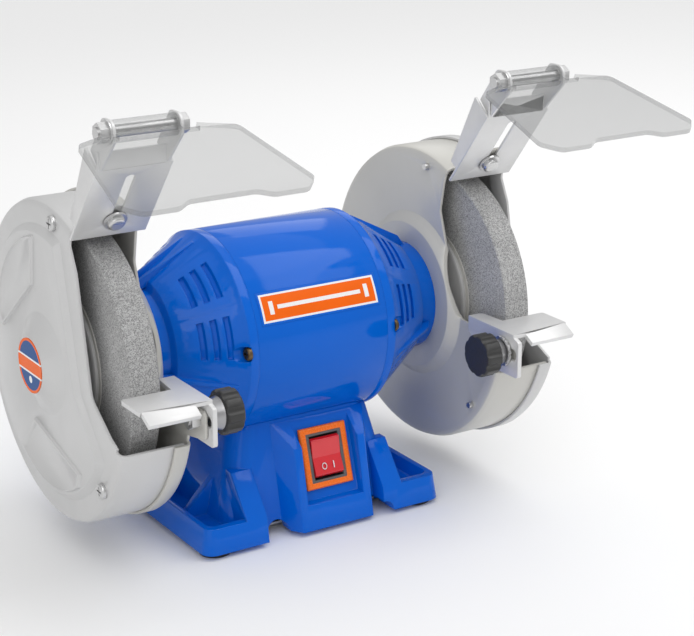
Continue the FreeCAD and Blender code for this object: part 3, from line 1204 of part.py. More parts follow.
def guard_cover_screws():
    """Right-hand screws through the outer cover into long spacers."""
    screws = []
    for angle in COVER_SCREW_ANGLES:
        y, z = around(angle, COVER_SCREW_CIRCLE)
        head = pan_head_x(COVER_SCREW_HEAD_RADIUS, COVER_SCREW_HEAD_HEIGHT, GUARD_OUTER_X, 1, y, z)
        screws.append(head.fuse(rod_x(COVER_SCREW_RADIUS, GUARD_INNER_X - 2.5, GUARD_OUTER_X, y, z)))
    return group(screws)


def guard_mount_screws():
    """Screws that hold both inner plates to the motor's necks."""
    screws = []
    for angle in GUARD_SCREW_ANGLES:
        y, z = around(angle, GUARD_SCREW_CIRCLE)
        seat = NECK_END_X + SHEET
        head = pan_head_x(4.0, 2.6, seat, 1, y, z)
        screw = head.fuse(rod_x(GUARD_SCREW_RADIUS, seat - 11, seat, y, z))
        screws.append(screw)
        screws.append(mirrored(screw))
    return group(screws)


def save(name, shape):
    """Write one node's solid or solids."""
    shape.exportStep(os.path.join("parts", name + ".step"))


def main():
    os.makedirs("parts", exist_ok=True)
    save("base", base())
    save("rubber_feet", rubber_feet())
    save("base_cover", base_cover())
    save("base_cover_screws", base_cover_screws())
    save("cable_gland", cable_gland())
    save("capacitor", capacitor())
    save("capacitor_clip", capacitor_clip())
    save("switch_bezel", switch_bezel())
    save("switch_body", switch_body())
    save("switch_rocker", switch_rocker())
    save("motor_barrel", motor_barrel())
    bell = end_bell()
    save("end_bell_right", bell)
    save("end_bell_left", mirrored(bell))
    save("end_bell_screws", end_bell_screws())
    save("stator_core", stator_core())
    save("stator_windings", stator_windings())
    save("bearing_outer_rings", bearing_outer_rings())
    save("bearing_inner_rings", bearing_inner_rings())
    save("shaft", shaft())
    save("rotor_core", rotor_core())
    wheel = grinding_wheel()
    save("wheel_right", wheel)
    save("wheel_left", mirrored(wheel))
    save("wheel_blotters", wheel_blotters())
    save("inner_flanges", inner_flanges())
    save("outer_flanges", outer_flanges())
    nut = spindle_nut()
    save("spindle_nut_right", nut)
    save("spindle_nut_left", mirrored(nut))
    save("guard_right_inner", inner_plate(deep=True))
    save("guard_right_outer", outer_cover(deep=False))
    save("guard_left_inner", mirrored(inner_plate(deep=False)))
    save("guard_left_outer", mirrored(outer_cover(deep=True)))
    screws = guard_cover_screws()
    save("guard_screws_right", screws)
    save("guard_screws_left", mirrored(screws))
    save("guard_mount_screws", guard_mount_screws())
    save("deflector_screws", deflector_screws())
    save("deflector_washers", deflector_washers())
    save("deflector_nuts", deflector_nuts())
    save("rest_clamp_nuts", rest_clamp_nuts())
    handed = {
        "deflector": deflector(),
        "tool_rest": tool_rest(),
        "rest_washer": rest_washer(),
        "knob_head": clamp_knob(),
        "knob_stud": knob_stud(),
    }
    for name, shape in handed.items():
        save(name + "_right", shape)
        save(name + "_left", mirrored(shape))
    to_left = V(-2 * GUARD_CENTRE_X, 0, 0)
    for name, shape in (("hinge_bolt", hinge_bolt()), ("hinge_nut", hinge_nut())):
        save(name + "_right", shape)
        save(name + "_left", shape.translated(to_left))
    save("eye_shield_right", eye_shield(GUARD_CENTRE_X))
    save("eye_shield_left", eye_shield(-GUARD_CENTRE_X))


main()
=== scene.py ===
"""Looks of a bench grinder with two guarded wheels, laid out as an add-on and run as a script."""
import json
import math

import bpy
from bpy.props import FloatProperty, FloatVectorProperty, PointerProperty
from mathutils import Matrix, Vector

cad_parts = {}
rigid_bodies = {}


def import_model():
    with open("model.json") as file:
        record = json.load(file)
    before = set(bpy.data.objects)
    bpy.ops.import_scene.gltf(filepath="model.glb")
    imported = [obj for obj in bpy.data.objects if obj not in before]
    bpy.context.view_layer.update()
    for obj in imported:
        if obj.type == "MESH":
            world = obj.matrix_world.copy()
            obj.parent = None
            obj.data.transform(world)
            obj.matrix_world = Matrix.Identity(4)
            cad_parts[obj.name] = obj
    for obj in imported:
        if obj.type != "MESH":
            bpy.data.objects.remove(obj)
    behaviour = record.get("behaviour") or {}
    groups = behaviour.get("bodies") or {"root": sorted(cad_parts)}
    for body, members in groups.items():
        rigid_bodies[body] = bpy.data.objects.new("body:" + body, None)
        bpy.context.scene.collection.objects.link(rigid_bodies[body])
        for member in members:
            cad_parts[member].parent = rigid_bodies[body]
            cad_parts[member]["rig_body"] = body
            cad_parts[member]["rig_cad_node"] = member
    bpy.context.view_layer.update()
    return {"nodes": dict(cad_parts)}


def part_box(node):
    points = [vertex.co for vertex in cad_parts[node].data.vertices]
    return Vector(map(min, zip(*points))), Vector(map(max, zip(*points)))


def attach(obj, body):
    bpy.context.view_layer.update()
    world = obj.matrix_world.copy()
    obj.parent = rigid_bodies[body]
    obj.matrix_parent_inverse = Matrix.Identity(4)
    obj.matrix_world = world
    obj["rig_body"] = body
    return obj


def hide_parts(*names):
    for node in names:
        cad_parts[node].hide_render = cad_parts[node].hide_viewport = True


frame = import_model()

bl_info = {
    "name": "Bench Grinder",
    "version": (1, 0, 0),
    "blender": (4, 5, 0),
    "location": "View3D > Sidebar > Grinder",
    "description": "Dresses the parts of a bench grinder and sets its studio",
    "category": "Object",
}

# Each side's name and its direction along the shaft
SIDES = (("left", -1.0), ("right", 1.0))
LEAST_LENGTH = 0.00005

# Places on the solids, in metres
SHAFT_HEIGHT = 0.1075
HINGE_Y = -0.081
HINGE_Z = 0.245
HINGE_EYE_REACH = 0.008
SHIELD_TILT = math.radians(14.5)
KNOB_HUB_LENGTH = 0.0055
KNOB_HUB_MARGIN = 0.0003
COVER_FACE_X = 0.138
COVER_FACE_MARGIN = 0.00002
COVER_FACE_RADIUS = 0.0703
BOSS_FOOT_RADIUS = 0.0279

# Clean-up, rounding and smooth shading of the meshes
MERGE_DISTANCE = 0.000002
FLAT_ANGLE = math.radians(0.3)
BEVEL_ANGLE = math.radians(35.0)
BEVEL_SEGMENTS = 2
ROUNDED_SMOOTH = math.radians(32.0)
DRESSED_SMOOTH = math.radians(30.0)
BADGE_SMOOTH = math.radians(20.0)

# Leaf-shaped pressings on the covers, as (back, up) from the shaft: the centre of the outer arc,
# then the lines that trim it, each with a point and the direction that stays
UPPER_PAD = (
    (-0.008, 0.003),
    (
        ((0.0086, 0.0404), (0.617, 0.788)),
        ((0.0086, 0.0404), (0.99, 0.13)),
        ((0.0519, 0.0064), (-0.788, 0.617)),
    ),
)
LOWER_PAD = (
    (-0.003, -0.001),
    (
        ((0.0144, -0.0348), (0.231, -0.974)),
        ((0.0144, -0.0348), (-0.728, -0.685)),
        ((-0.0421, -0.0482), (0.974, 0.231)),
    ),
)
PAD_VERTICES = 96
PAD_MERGE = 0.0004
PAD_SUNK = 0.0003
PAD_WALL = 0.0004
# Steps of a pressing from its foot inwards: the share of the width that stays, and the rise as a
# share of the full rise
PAD_STEPS = ((0.965, 1.0), (0.95, 0.0), (0.955, -0.65))

# Motor label: its standoff as a share of its thickness, and its print as shares of its half height
# and half length
LABEL_VERTICES = 192
LABEL_STANDOFF = 0.25
LABEL_RIM = (0.86, 0.965)
LABEL_FRAME = (0.74, 0.935)
LABEL_BAR = (0.12, 0.7)
LABEL_TICK_PLACE = 0.8
LABEL_TICK = (0.4, 0.035)

# Print of the cover labels, as shares of their radius
BADGE_VERTICES = 64
BADGE_BAND = 0.23
BADGE_BAND_EDGE = 0.3
BADGE_SPOT = 0.13
BADGE_SPOT_PLACE = -0.52
BADGE_RIM = 0.9
# Steps of a cover label's face: the inset as a share of the radius, and the depth as a share of
# the thickness
BADGE_STEPS = ((0.12, -0.4), (0.03, 0.0))
# Least share of a normal along the shaft for a face that looks outwards
FACES_OUT = 0.9

# Marks on the lower facet of the rocker
ROCKER_REST = math.radians(8.0)
ROCKER_FACET = math.radians(12.0)
PANEL_SLOPE = math.atan(0.3)
MARK_LEAN = ROCKER_REST + math.radians(90.0) - PANEL_SLOPE - ROCKER_FACET
MARK_DEPTH = 0.00105
MARK_RISE = 0.0062
MARK_OFFSET = 0.003
OFF_MARK_RADIUS = 0.0017
OFF_MARK_LINE = 0.0003
OFF_MARK_SCALE = (0.8, 1.0, 0.5)
ON_MARK_SIZE = (0.0006, 0.004, 0.0004)
ON_MARK_ROUND = 0.00012

# Finishes
FULL_RANGE = (0.0, 1.0)
NOISE_RANGE = (0.3, 0.7)
CLEAR_IOR = 1.49
SHIELD_BLEND = 0.35
SHIELD_DENSITY = (0.13, 0.4)
SHIELD_EDGE_ALPHA = 0.42
# Greatest share of a normal across the shield for a face that is a cut edge
EDGE_ON = 0.5

# Studio
CAMERA_PLACE = (-0.4946, -0.8594, 0.4317)
CAMERA_TILT = math.radians(90.0 - 18.09)
CAMERA_TURN = math.radians(-32.36)
CAMERA_SENSOR = 36.0
CAMERA_NEAR = 0.01
WORLD_COLOUR = (0.97, 0.97, 0.97, 1.0)
WORLD_STRENGTH = 0.55
BACKDROP_COLOUR = (0.88, 0.88, 0.88, 1.0)
# Name, kind, place, the distance along the shaft that it aims at, angle or width, and power
LAMPS = (
    ("key", "SUN", (-1.0, -1.3, 1.7), 0.0, 0.8, 0.75),
    ("side", "SUN", (-1.6, -0.9, 0.4), 0.0, 0.8, 0.25),
    ("top", "SUN", (0.1, 0.3, 1.9), 0.0, 1.2, 0.4),
    ("softbox", "AREA", (0.74, -0.4, 1.3), 0.74, 1.0, 7.0),
    ("strip", "AREA", (0.6, 0.85, 0.85), 0.6, 0.55, 0.9),
)


def length(label, words, value):
    """A length setting shown in the sidebar."""
    return FloatProperty(
        name=label, description=words, default=value, min=LEAST_LENGTH, unit="LENGTH")


def angle(label, words, value):
    """An angle setting shown in the sidebar."""
    return FloatProperty(
        name=label, description=words, default=math.radians(value), subtype="ANGLE")


def colour(label, words, value):
    """A colour setting shown in the sidebar."""
    return FloatVectorProperty(
        name=label, description=words, default=value + (1.0,), size=4, min=0.0, max=1.0,
        subtype="COLOR")


class GrinderSizes(bpy.types.PropertyGroup):
    """Sizes of the added pieces, the rounding and the studio."""

    label_length: length("Label length", "Length of the motor label along the shaft", 0.074)
    label_low: angle("Label low edge", "Angle of the label's lower edge above the front", 17.5)
    label_high: angle("Label high edge", "Angle of the label's upper edge above the front", 35.5)
    label_lift: length("Label thickness", "Thickness of the motor label", 0.00018)
    barrel_radius: length("Barrel radius", "Outside radius of the motor barrel", 0.057)
    badge_lift: length("Badge thickness", "Thickness of the round label on each cover", 0.0005)
    badge_radius: length("Badge radius", "Radius of the round label on each cover", 0.0148)
    pad_radius: length("Pad radius", "Outer radius of the pressings on the covers", 0.0665)
    pad_rise: length("Pad rise", "Height of the pressings on the covers", 0.0013)
    casting_round: length("Casting rounding", "Rounding of the casting edges", 0.0009)
    sheet_round: length("Sheet rounding", "Rounding of the sheet-metal edges", 0.0004)
    moulding_round: length("Moulding rounding", "Rounding of the moulded edges", 0.0005)
    floor_size: length("Floor size", "Side of the studio floor", 12.0)
    camera_lens: FloatProperty(
        name="Lens", description="Focal length of the studio camera in millimetres",
        default=96.36, min=10.0)


class GrinderColours(bpy.types.PropertyGroup):
    """Colours of the finishes."""

    enamel: colour("Enamel", "Blue gloss enamel of the castings", (0.0004, 0.122, 0.62))
    silver: colour("Silver", "Satin paint of the guard covers", (0.6, 0.6, 0.6))
    # Painted shade: a darker, warmer copy of the silver for the guards beside the motor. The warm
    # tint cancels the blue light these guards catch from the barrel and floor.
    inner_silver_painted_shade: colour(
        "Inner silver", "Satin paint of the guards beside the motor", (0.56, 0.552, 0.518))
    zinc: colour("Zinc", "Plated hardware", (0.64, 0.64, 0.64))
    bright_zinc: colour("Bright zinc", "Plated sheet", (0.74, 0.74, 0.74))
    dark_zinc: colour("Dark screw", "Bronze-plated screws", (0.16, 0.11, 0.06))
    steel: colour("Steel", "Machined steel", (0.42, 0.42, 0.43))
    grit: colour("Grit", "Abrasive of the wheels", (0.4, 0.4, 0.4))
    card: colour("Card", "Card washers on the wheels", (0.56, 0.55, 0.52))
    clear_edge: colour("Clear edge", "Cut edges of the shields", (0.22, 0.225, 0.225))
    clear: colour("Clear", "Clear plastic of the shields", (0.2, 0.205, 0.205))
    black: colour("Black", "Black mouldings", (0.03, 0.03, 0.03))
    grey: colour("Grey", "Grey switch housing", (0.11, 0.11, 0.115))
    orange: colour("Orange", "Orange mouldings", (0.95, 0.165, 0.004))
    print_orange: colour("Print orange", "Orange print of the labels", (0.9, 0.135, 0.003))
    print_blue: colour("Print blue", "Dark blue print of the cover labels", (0.0, 0.07, 0.27))
    red: colour("Red", "Red rocker", (0.7, 0.009, 0.02))
    white: colour("White", "White print", (0.86, 0.86, 0.86))
    rubber: colour("Rubber", "Rubber feet", (0.02, 0.02, 0.021))
    copper: colour("Copper", "Varnished copper wire", (0.55, 0.2, 0.08))
    floor: colour("Floor", "Studio floor", (0.93, 0.93, 0.93))


def sizes():
    """The scene's size settings."""
    return bpy.context.scene.grinder_sizes


def colours():
    """The scene's colour settings."""
    return bpy.context.scene.grinder_colours


def feed(tree, value, socket):
    """Link an output to a socket, or set the socket to a fixed value."""
    if hasattr(value, "is_linked"):
        tree.links.new(value, socket)
    else:
        socket.default_value = value


def new_group(name, inputs, outputs):
    """Empty shader node group with its sockets, and its end nodes."""
    kinds = {"Colour": "NodeSocketColor", "Normal": "NodeSocketVector"}
    tree = bpy.data.node_groups.new(name, "ShaderNodeTree")
    for way, labels in (("INPUT", inputs), ("OUTPUT", outputs)):
        for label in labels:
            kind = kinds.get(label, "NodeSocketFloat")
            tree.interface.new_socket(label, in_out=way, socket_type=kind)
    return tree, tree.nodes.new("NodeGroupInput"), tree.nodes.new("NodeGroupOutput")


def noise(tree, scale, detail=4.0, stretch=None):
    """Noise on object coordinates, stretched along an axis where asked."""
    place = tree.nodes.new("ShaderNodeTexCoord")
    texture = tree.nodes.new("ShaderNodeTexNoise")
    texture.inputs["Scale"].default_value = scale
    texture.inputs["Detail"].default_value = detail
    vector = place.outputs["Object"]
    if stretch is not None:
        mapping = tree.nodes.new("ShaderNodeMapping")
        mapping.inputs["Scale"].default_value = stretch
        tree.links.new(vector, mapping.inputs["Vector"])
        vector = mapping.outputs["Vector"]
    tree.links.new(vector, texture.inputs["Vector"])
    return texture.outputs["Fac"]


def remap(tree, value, span, low, high):
    """A value brought from one range to another; the new limits are fixed or linked."""
    node = tree.nodes.new("ShaderNodeMapRange")
    node.inputs["From Min"].default_value, node.inputs["From Max"].default_value = span
    tree.links.new(value, node.inputs["Value"])
    feed(tree, low, node.inputs["To Min"])
    feed(tree, high, node.inputs["To Max"])
    return node.outputs["Result"]


def shade(tree, tint, factor):
    """Colour multiplied by a grey factor."""
    mix = tree.nodes.new("ShaderNodeMix")
    mix.data_type = "RGBA"
    mix.blend_type = "MULTIPLY"
    mix.inputs["Factor"].default_value = 1.0
    tree.links.new(tint, mix.inputs["A"])
    tree.links.new(factor, mix.inputs["B"])
    return mix.outputs["Result"]


def surface(tree, end, height, strength, distance, edge=None):
    """Relief on a group's normal, over edges softened in shading where a radius is given."""
    bump = tree.nodes.new("ShaderNodeBump")
    bump.inputs["Distance"].default_value = distance
    feed(tree, strength, bump.inputs["Strength"])
    tree.links.new(height, bump.inputs["Height"])
    if edge is not None:
        soft = tree.nodes.new("ShaderNodeBevel")
        soft.inputs["Radius"].default_value = edge
        tree.links.new(soft.outputs["Normal"], bump.inputs["Normal"])
    tree.links.new(bump.outputs["Normal"], end.inputs["Normal"])


def tone(tree, start, end, scale, low, high):
    """Uneven tone of a group's colour."""
    factor = remap(tree, noise(tree, scale), NOISE_RANGE, low, high)
    tree.links.new(shade(tree, start.outputs["Colour"], factor), end.inputs["Colour"])


def gloss(tree, start, end, pattern):
    """Uneven roughness of a group, between its two inputs."""
    low, high = start.outputs["Rough Low"], start.outputs["Rough High"]
    tree.links.new(remap(tree, pattern, NOISE_RANGE, low, high), end.inputs["Roughness"])


def group_painted():
    """Paint: a little uneven in tone and gloss, with a fine orange-peel surface."""
    tree, start, end = new_group(
        "Painted", ("Colour", "Depth", "Rough Low", "Rough High"),
        ("Colour", "Roughness", "Normal"))
    tone(tree, start, end, scale=14.0, low=0.95, high=1.04)
    gloss(tree, start, end, noise(tree, scale=60.0))
    peel = noise(tree, scale=900.0, detail=2.0)
    surface(tree, end, peel, start.outputs["Depth"], distance=0.0004, edge=0.0007)
    return tree


def group_brushed():
    """Metal with fine lines along X and faint stains."""
    tree, start, end = new_group(
        "Brushed", ("Colour", "Rough Low", "Rough High"), ("Colour", "Roughness", "Normal"))
    tone(tree, start, end, scale=35.0, low=0.93, high=1.03)
    lines = noise(tree, scale=900.0, detail=3.0, stretch=(0.06, 1.0, 1.0))
    gloss(tree, start, end, lines)
    surface(tree, end, lines, strength=0.03, distance=0.0002, edge=0.0004)
    return tree


def group_moulded():
    """Moulded plastic or rubber: fine texture and slightly uneven gloss."""
    tree, start, end = new_group(
        "Moulded", ("Colour", "Depth", "Rough Low", "Rough High"),
        ("Colour", "Roughness", "Normal"))
    tone(tree, start, end, scale=80.0, low=0.96, high=1.03)
    grain = noise(tree, scale=1200.0, detail=2.0)
    gloss(tree, start, end, grain)
    surface(tree, end, grain, start.outputs["Depth"], distance=0.0003, edge=0.0005)
    return tree


def group_grit():
    """Abrasive grains: light and dark specks with pits between them."""
    tree, start, end = new_group("Grit", ("Colour",), ("Colour", "Normal"))
    place = tree.nodes.new("ShaderNodeTexCoord")
    grains = tree.nodes.new("ShaderNodeTexVoronoi")
    grains.inputs["Scale"].default_value = 2100.0
    tree.links.new(place.outputs["Object"], grains.inputs["Vector"])
    speck = tree.nodes.new("ShaderNodeSeparateColor")
    tree.links.new(grains.outputs["Color"], speck.inputs["Color"])
    contrast = remap(tree, speck.outputs["Red"], FULL_RANGE, low=0.55, high=1.42)
    stains = remap(tree, noise(tree, scale=32.0), NOISE_RANGE, low=0.86, high=1.08)
    specks = shade(tree, start.outputs["Colour"], contrast)
    tree.links.new(shade(tree, specks, stains), end.inputs["Colour"])
    surface(tree, end, noise(tree, scale=1500.0), strength=0.5, distance=0.0008)
    return tree


GROUPS = {}


def shared(maker):
    """A node group, made once."""
    if maker not in GROUPS:
        GROUPS[maker] = maker()
    return GROUPS[maker]


def node_of(tree, kind):
    """The first node of a kind."""
    return next(node for node in tree.nodes if node.type == kind)


def new_material(name):
    """Material with only a Principled shader, and that shader's node."""
    material = bpy.data.materials.new(name)
    material.use_nodes = True
    material.node_tree.nodes.clear()
    shader = material.node_tree.nodes.new("ShaderNodeBsdfPrincipled")
    end = material.node_tree.nodes.new("ShaderNodeOutputMaterial")
    material.node_tree.links.new(shader.outputs["BSDF"], end.inputs["Surface"])
    return material, shader


def finish_material(name, maker, values, constants):
    """Material whose shader is fed by a shared group; constants go straight on the shader."""
    material, shader = new_material(name)
    node = material.node_tree.nodes.new("ShaderNodeGroup")
    node.node_tree = shared(maker)
    for label, value in values.items():
        node.inputs[label].default_value = value
    targets = {"Colour": "Base Color", "Roughness": "Roughness", "Normal": "Normal"}
    for source, target in targets.items():
        if source in node.outputs:
            material.node_tree.links.new(node.outputs[source], shader.inputs[target])
    for label, value in constants.items():
        shader.inputs[label].default_value = value
    return material


def painted(name, tint, depth, rough, **constants):
    """Paint with a depth of orange peel and a range of roughness."""
    values = {"Colour": tint, "Depth": depth, "Rough Low": rough[0], "Rough High": rough[1]}
    return finish_material(name, group_painted, values, constants)


def brushed(name, tint, rough, **constants):
    """Metal with a range of roughness."""
    values = {"Colour": tint, "Rough Low": rough[0], "Rough High": rough[1]}
    return finish_material(name, group_brushed, values, {"Metallic": 1.0, **constants})


def moulded(name, tint, depth, rough, **constants):
    """Plastic, rubber, card or print with a depth of grain and a range of roughness."""
    values = {"Colour": tint, "Depth": depth, "Rough Low": rough[0], "Rough High": rough[1]}
    return finish_material(name, group_moulded, values, constants)


def dress(names, material):
    """Give CAD nodes a material and smooth shading up to an angle."""
    bpy.ops.object.select_all(action="DESELECT")
    for name in names:
        piece = frame["nodes"][name]
        piece.data.materials.clear()
        piece.data.materials.append(material)
        piece.select_set(True)
        bpy.context.view_layer.objects.active = piece
    bpy.ops.object.shade_smooth_by_angle(angle=DRESSED_SMOOTH)
    bpy.ops.object.select_all(action="DESELECT")


def added(name, material, body):
    """Name, finish and attach the piece that was just added."""
    piece = bpy.context.object
    piece.name = name
    piece.data.name = name
    piece.data.materials.clear()
    piece.data.materials.append(material)
    bpy.ops.object.transform_apply(location=True, rotation=True, scale=True)
    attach(piece, body)
    piece.select_set(False)
    return piece


def refinish(piece, material, test):
    """Give the faces that pass a test another material."""
    piece.data.materials.append(material)
    index = len(piece.data.materials) - 1
    for face in piece.data.polygons:
        if test(face):
            face.material_index = index


def edit_faces(piece, test):
    """Enter edit mode with only the faces selected that pass a test."""
    bpy.context.view_layer.objects.active = piece
    bpy.ops.object.mode_set(mode="EDIT")
    bpy.ops.mesh.select_mode(type="FACE")
    bpy.ops.mesh.select_all(action="DESELECT")
    bpy.ops.object.mode_set(mode="OBJECT")
    for face in piece.data.polygons:
        face.select = test(face)
    bpy.ops.object.mode_set(mode="EDIT")


def rounded(name, width, material, level=None):
    """Rounded copy that stands for a CAD node, on the same body; level flattens a face first."""
    source = frame["nodes"][name]
    bpy.ops.object.select_all(action="DESELECT")
    source.select_set(True)
    bpy.context.view_layer.objects.active = source
    bpy.ops.object.duplicate(linked=False)
    piece = bpy.context.object
    piece.name = name + "_rounded"
    piece.data.name = piece.name
    del piece["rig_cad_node"]
    piece.data.materials.clear()
    piece.data.materials.append(material)
    bpy.ops.object.mode_set(mode="EDIT")
    bpy.ops.mesh.select_all(action="SELECT")
    bpy.ops.mesh.remove_doubles(threshold=MERGE_DISTANCE)
    bpy.ops.object.mode_set(mode="OBJECT")
    if level is not None:
        level(piece)
    bpy.ops.object.mode_set(mode="EDIT")
    bpy.ops.mesh.select_all(action="SELECT")
    bpy.ops.mesh.dissolve_limited(angle_limit=FLAT_ANGLE)
    bpy.ops.object.mode_set(mode="OBJECT")
    bevel = piece.modifiers.new("edges", "BEVEL")
    bevel.width = width
    bevel.segments = BEVEL_SEGMENTS
    bevel.limit_method = "ANGLE"
    bevel.angle_limit = BEVEL_ANGLE
    bpy.ops.object.modifier_apply(modifier=bevel.name)
    bpy.ops.object.shade_smooth_by_angle(angle=ROUNDED_SMOOTH)
    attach(piece, source["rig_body"])
    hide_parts(name)
    piece.select_set(False)
    return piece


class GRINDER_OT_castings(bpy.types.Operator):
    """Blue enamel on the base, barrel and end bells"""

    bl_idname = "grinder.castings"
    bl_label = "Castings"

    def execute(self, context):
        enamel = painted(
            "blue_enamel", colours().enamel, depth=0.03, rough=(0.06, 0.1),
            **{"Specular IOR Level": 0.22})
        for name in ("base", "motor_barrel", "end_bell_left", "end_bell_right"):
            rounded(name, sizes().casting_round, enamel)
        return {"FINISHED"}


def level_cover_face(piece):
    """Replace a cover's main face and the pressings on it by one flat face."""

    def on_face(vertex):
        reach = math.hypot(vertex.co.y, vertex.co.z - SHAFT_HEIGHT)
        out = abs(vertex.co.x) > COVER_FACE_X - COVER_FACE_MARGIN
        return out and BOSS_FOOT_RADIUS < reach < COVER_FACE_RADIUS

    inside = [on_face(vertex) for vertex in piece.data.vertices]
    edit_faces(piece, lambda face: all(inside[index] for index in face.vertices))
    bpy.ops.mesh.delete(type="FACE")
    bpy.ops.mesh.select_mode(type="EDGE")
    bpy.ops.mesh.select_non_manifold()
    bpy.ops.mesh.fill(use_beauty=True)
    bpy.ops.object.mode_set(mode="OBJECT")


def cover_pad(outward, outline):
    """Leaf-shaped pressing on a cover: a disc trimmed by lines, raised, with a sunk middle."""
    size = sizes()
    (back, up), lines = outline
    bpy.ops.object.select_all(action="DESELECT")
    bpy.ops.mesh.primitive_circle_add(
        vertices=PAD_VERTICES, radius=size.pad_radius, fill_type="NGON",
        location=(outward * (COVER_FACE_X - PAD_SUNK), back, SHAFT_HEIGHT + up),
        rotation=(0.0, outward * math.pi / 2, 0.0))
    bpy.ops.object.transform_apply(location=True, rotation=True, scale=True)
    piece = bpy.context.object
    bpy.ops.object.mode_set(mode="EDIT")
    for point, direction in lines:
        bpy.ops.mesh.select_all(action="SELECT")
        bpy.ops.mesh.bisect(
            plane_co=(0.0, point[0], SHAFT_HEIGHT + point[1]),
            plane_no=(0.0, direction[0], direction[1]), clear_inner=True, clear_outer=False)
    bpy.ops.mesh.select_all(action="SELECT")
    bpy.ops.mesh.remove_doubles(threshold=PAD_MERGE)
    bpy.ops.object.mode_set(mode="OBJECT")
    middle = piece.data.polygons[0].center.copy()
    bpy.ops.object.mode_set(mode="EDIT")
    bpy.ops.mesh.extrude_region_move(
        TRANSFORM_OT_translate={"value": (outward * PAD_WALL, 0.0, 0.0)})
    for share, rise in PAD_STEPS:
        bpy.ops.mesh.extrude_region_move(
            TRANSFORM_OT_translate={"value": (outward * rise * size.pad_rise, 0.0, 0.0)})
        bpy.ops.transform.resize(value=(1.0, share, share), center_override=middle)
    bpy.ops.mesh.select_all(action="SELECT")
    bpy.ops.mesh.normals_make_consistent(inside=False)
    bpy.ops.object.mode_set(mode="OBJECT")
    return piece


def satin(name, tint):
    """Satin paint of the wheel guards."""
    return painted(
        name, tint, depth=0.06, rough=(0.3, 0.4),
        **{"Metallic": 0.18, "Coat Weight": 0.1, "Coat Roughness": 0.25})


class GRINDER_OT_guards(bpy.types.Operator):
    """Satin paint on the wheel guards, with the leaf-shaped pressings of their covers"""

    bl_idname = "grinder.guards"
    bl_label = "Guards"

    def execute(self, context):
        width = sizes().sheet_round
        silver = satin("silver_paint", colours().silver)
        # The guards beside the motor get painted shade: a darker, warmer copy of the silver paint.
        inner = satin("inner_silver_shaded_paint", colours().inner_silver_painted_shade)
        for side, _ in SIDES:
            rounded("guard_" + side + "_inner", width, inner)
        for side, outward in SIDES:
            name = "guard_" + side + "_outer"
            cover = rounded(name, width, silver, level=level_cover_face)
            for outline in (UPPER_PAD, LOWER_PAD):
                pad = cover_pad(outward, outline)
                pad.data.materials.append(silver)
                cover.select_set(True)
                pad.select_set(True)
                context.view_layer.objects.active = cover
                bpy.ops.object.join()
            bpy.ops.object.shade_smooth_by_angle(angle=ROUNDED_SMOOTH)
            cover.select_set(False)
        return {"FINISHED"}


class GRINDER_OT_hardware(bpy.types.Operator):
    """Plated sheet pieces, screws, nuts, turned steel and the motor's insides"""

    bl_idname = "grinder.hardware"
    bl_label = "Hardware"

    def execute(self, context):
        tint = colours()
        sheet = brushed("zinc_sheet", tint.bright_zinc, rough=(0.4, 0.5), Metallic=0.4)
        dress(["base_cover", "capacitor_clip"], sheet)
        for side, _ in SIDES:
            rounded("tool_rest_" + side, sizes().sheet_round, sheet)
            rounded("deflector_" + side, sizes().sheet_round, sheet)
        plated = brushed("zinc_hardware", tint.zinc, rough=(0.25, 0.4))
        names = ["guard_mount_screws", "deflector_screws", "deflector_washers", "deflector_nuts",
                 "rest_clamp_nuts", "base_cover_screws"]
        for stem in ("hinge_bolt", "hinge_nut", "guard_screws", "rest_washer", "knob_stud"):
            names += [stem + "_" + side for side, _ in SIDES]
        dress(names, plated)
        dark = brushed("dark_screw", tint.dark_zinc, rough=(0.35, 0.5))
        dress(["end_bell_screws"], dark)
        turned = brushed("machined_steel", tint.steel, rough=(0.28, 0.42))
        names = ["shaft", "bearing_outer_rings", "bearing_inner_rings"]
        names += ["spindle_nut_" + side for side, _ in SIDES]
        dress(names, turned)
        pressed = brushed("flange_steel", tint.zinc, rough=(0.35, 0.45), Metallic=0.4)
        dress(["inner_flanges", "outer_flanges"], pressed)
        laminations = brushed("laminations", tint.steel, rough=(0.5, 0.6))
        dress(["stator_core", "rotor_core"], laminations)
        dress(["stator_windings"], brushed("copper_wire", tint.copper, rough=(0.3, 0.45)))
        dress(["capacitor"], brushed("capacitor_can", tint.zinc, rough=(0.35, 0.45)))
        return {"FINISHED"}


class GRINDER_OT_wheels(bpy.types.Operator):
    """Abrasive grain on the wheels and card on their washers"""

    bl_idname = "grinder.wheels"
    bl_label = "Wheels"

    def execute(self, context):
        abrasive = finish_material(
            "abrasive", group_grit, {"Colour": colours().grit}, {"Roughness": 0.92})
        dress(["wheel_left", "wheel_right"], abrasive)
        card = moulded("blotter_card", colours().card, depth=0.3, rough=(0.8, 0.9))
        dress(["wheel_blotters"], card)
        return {"FINISHED"}


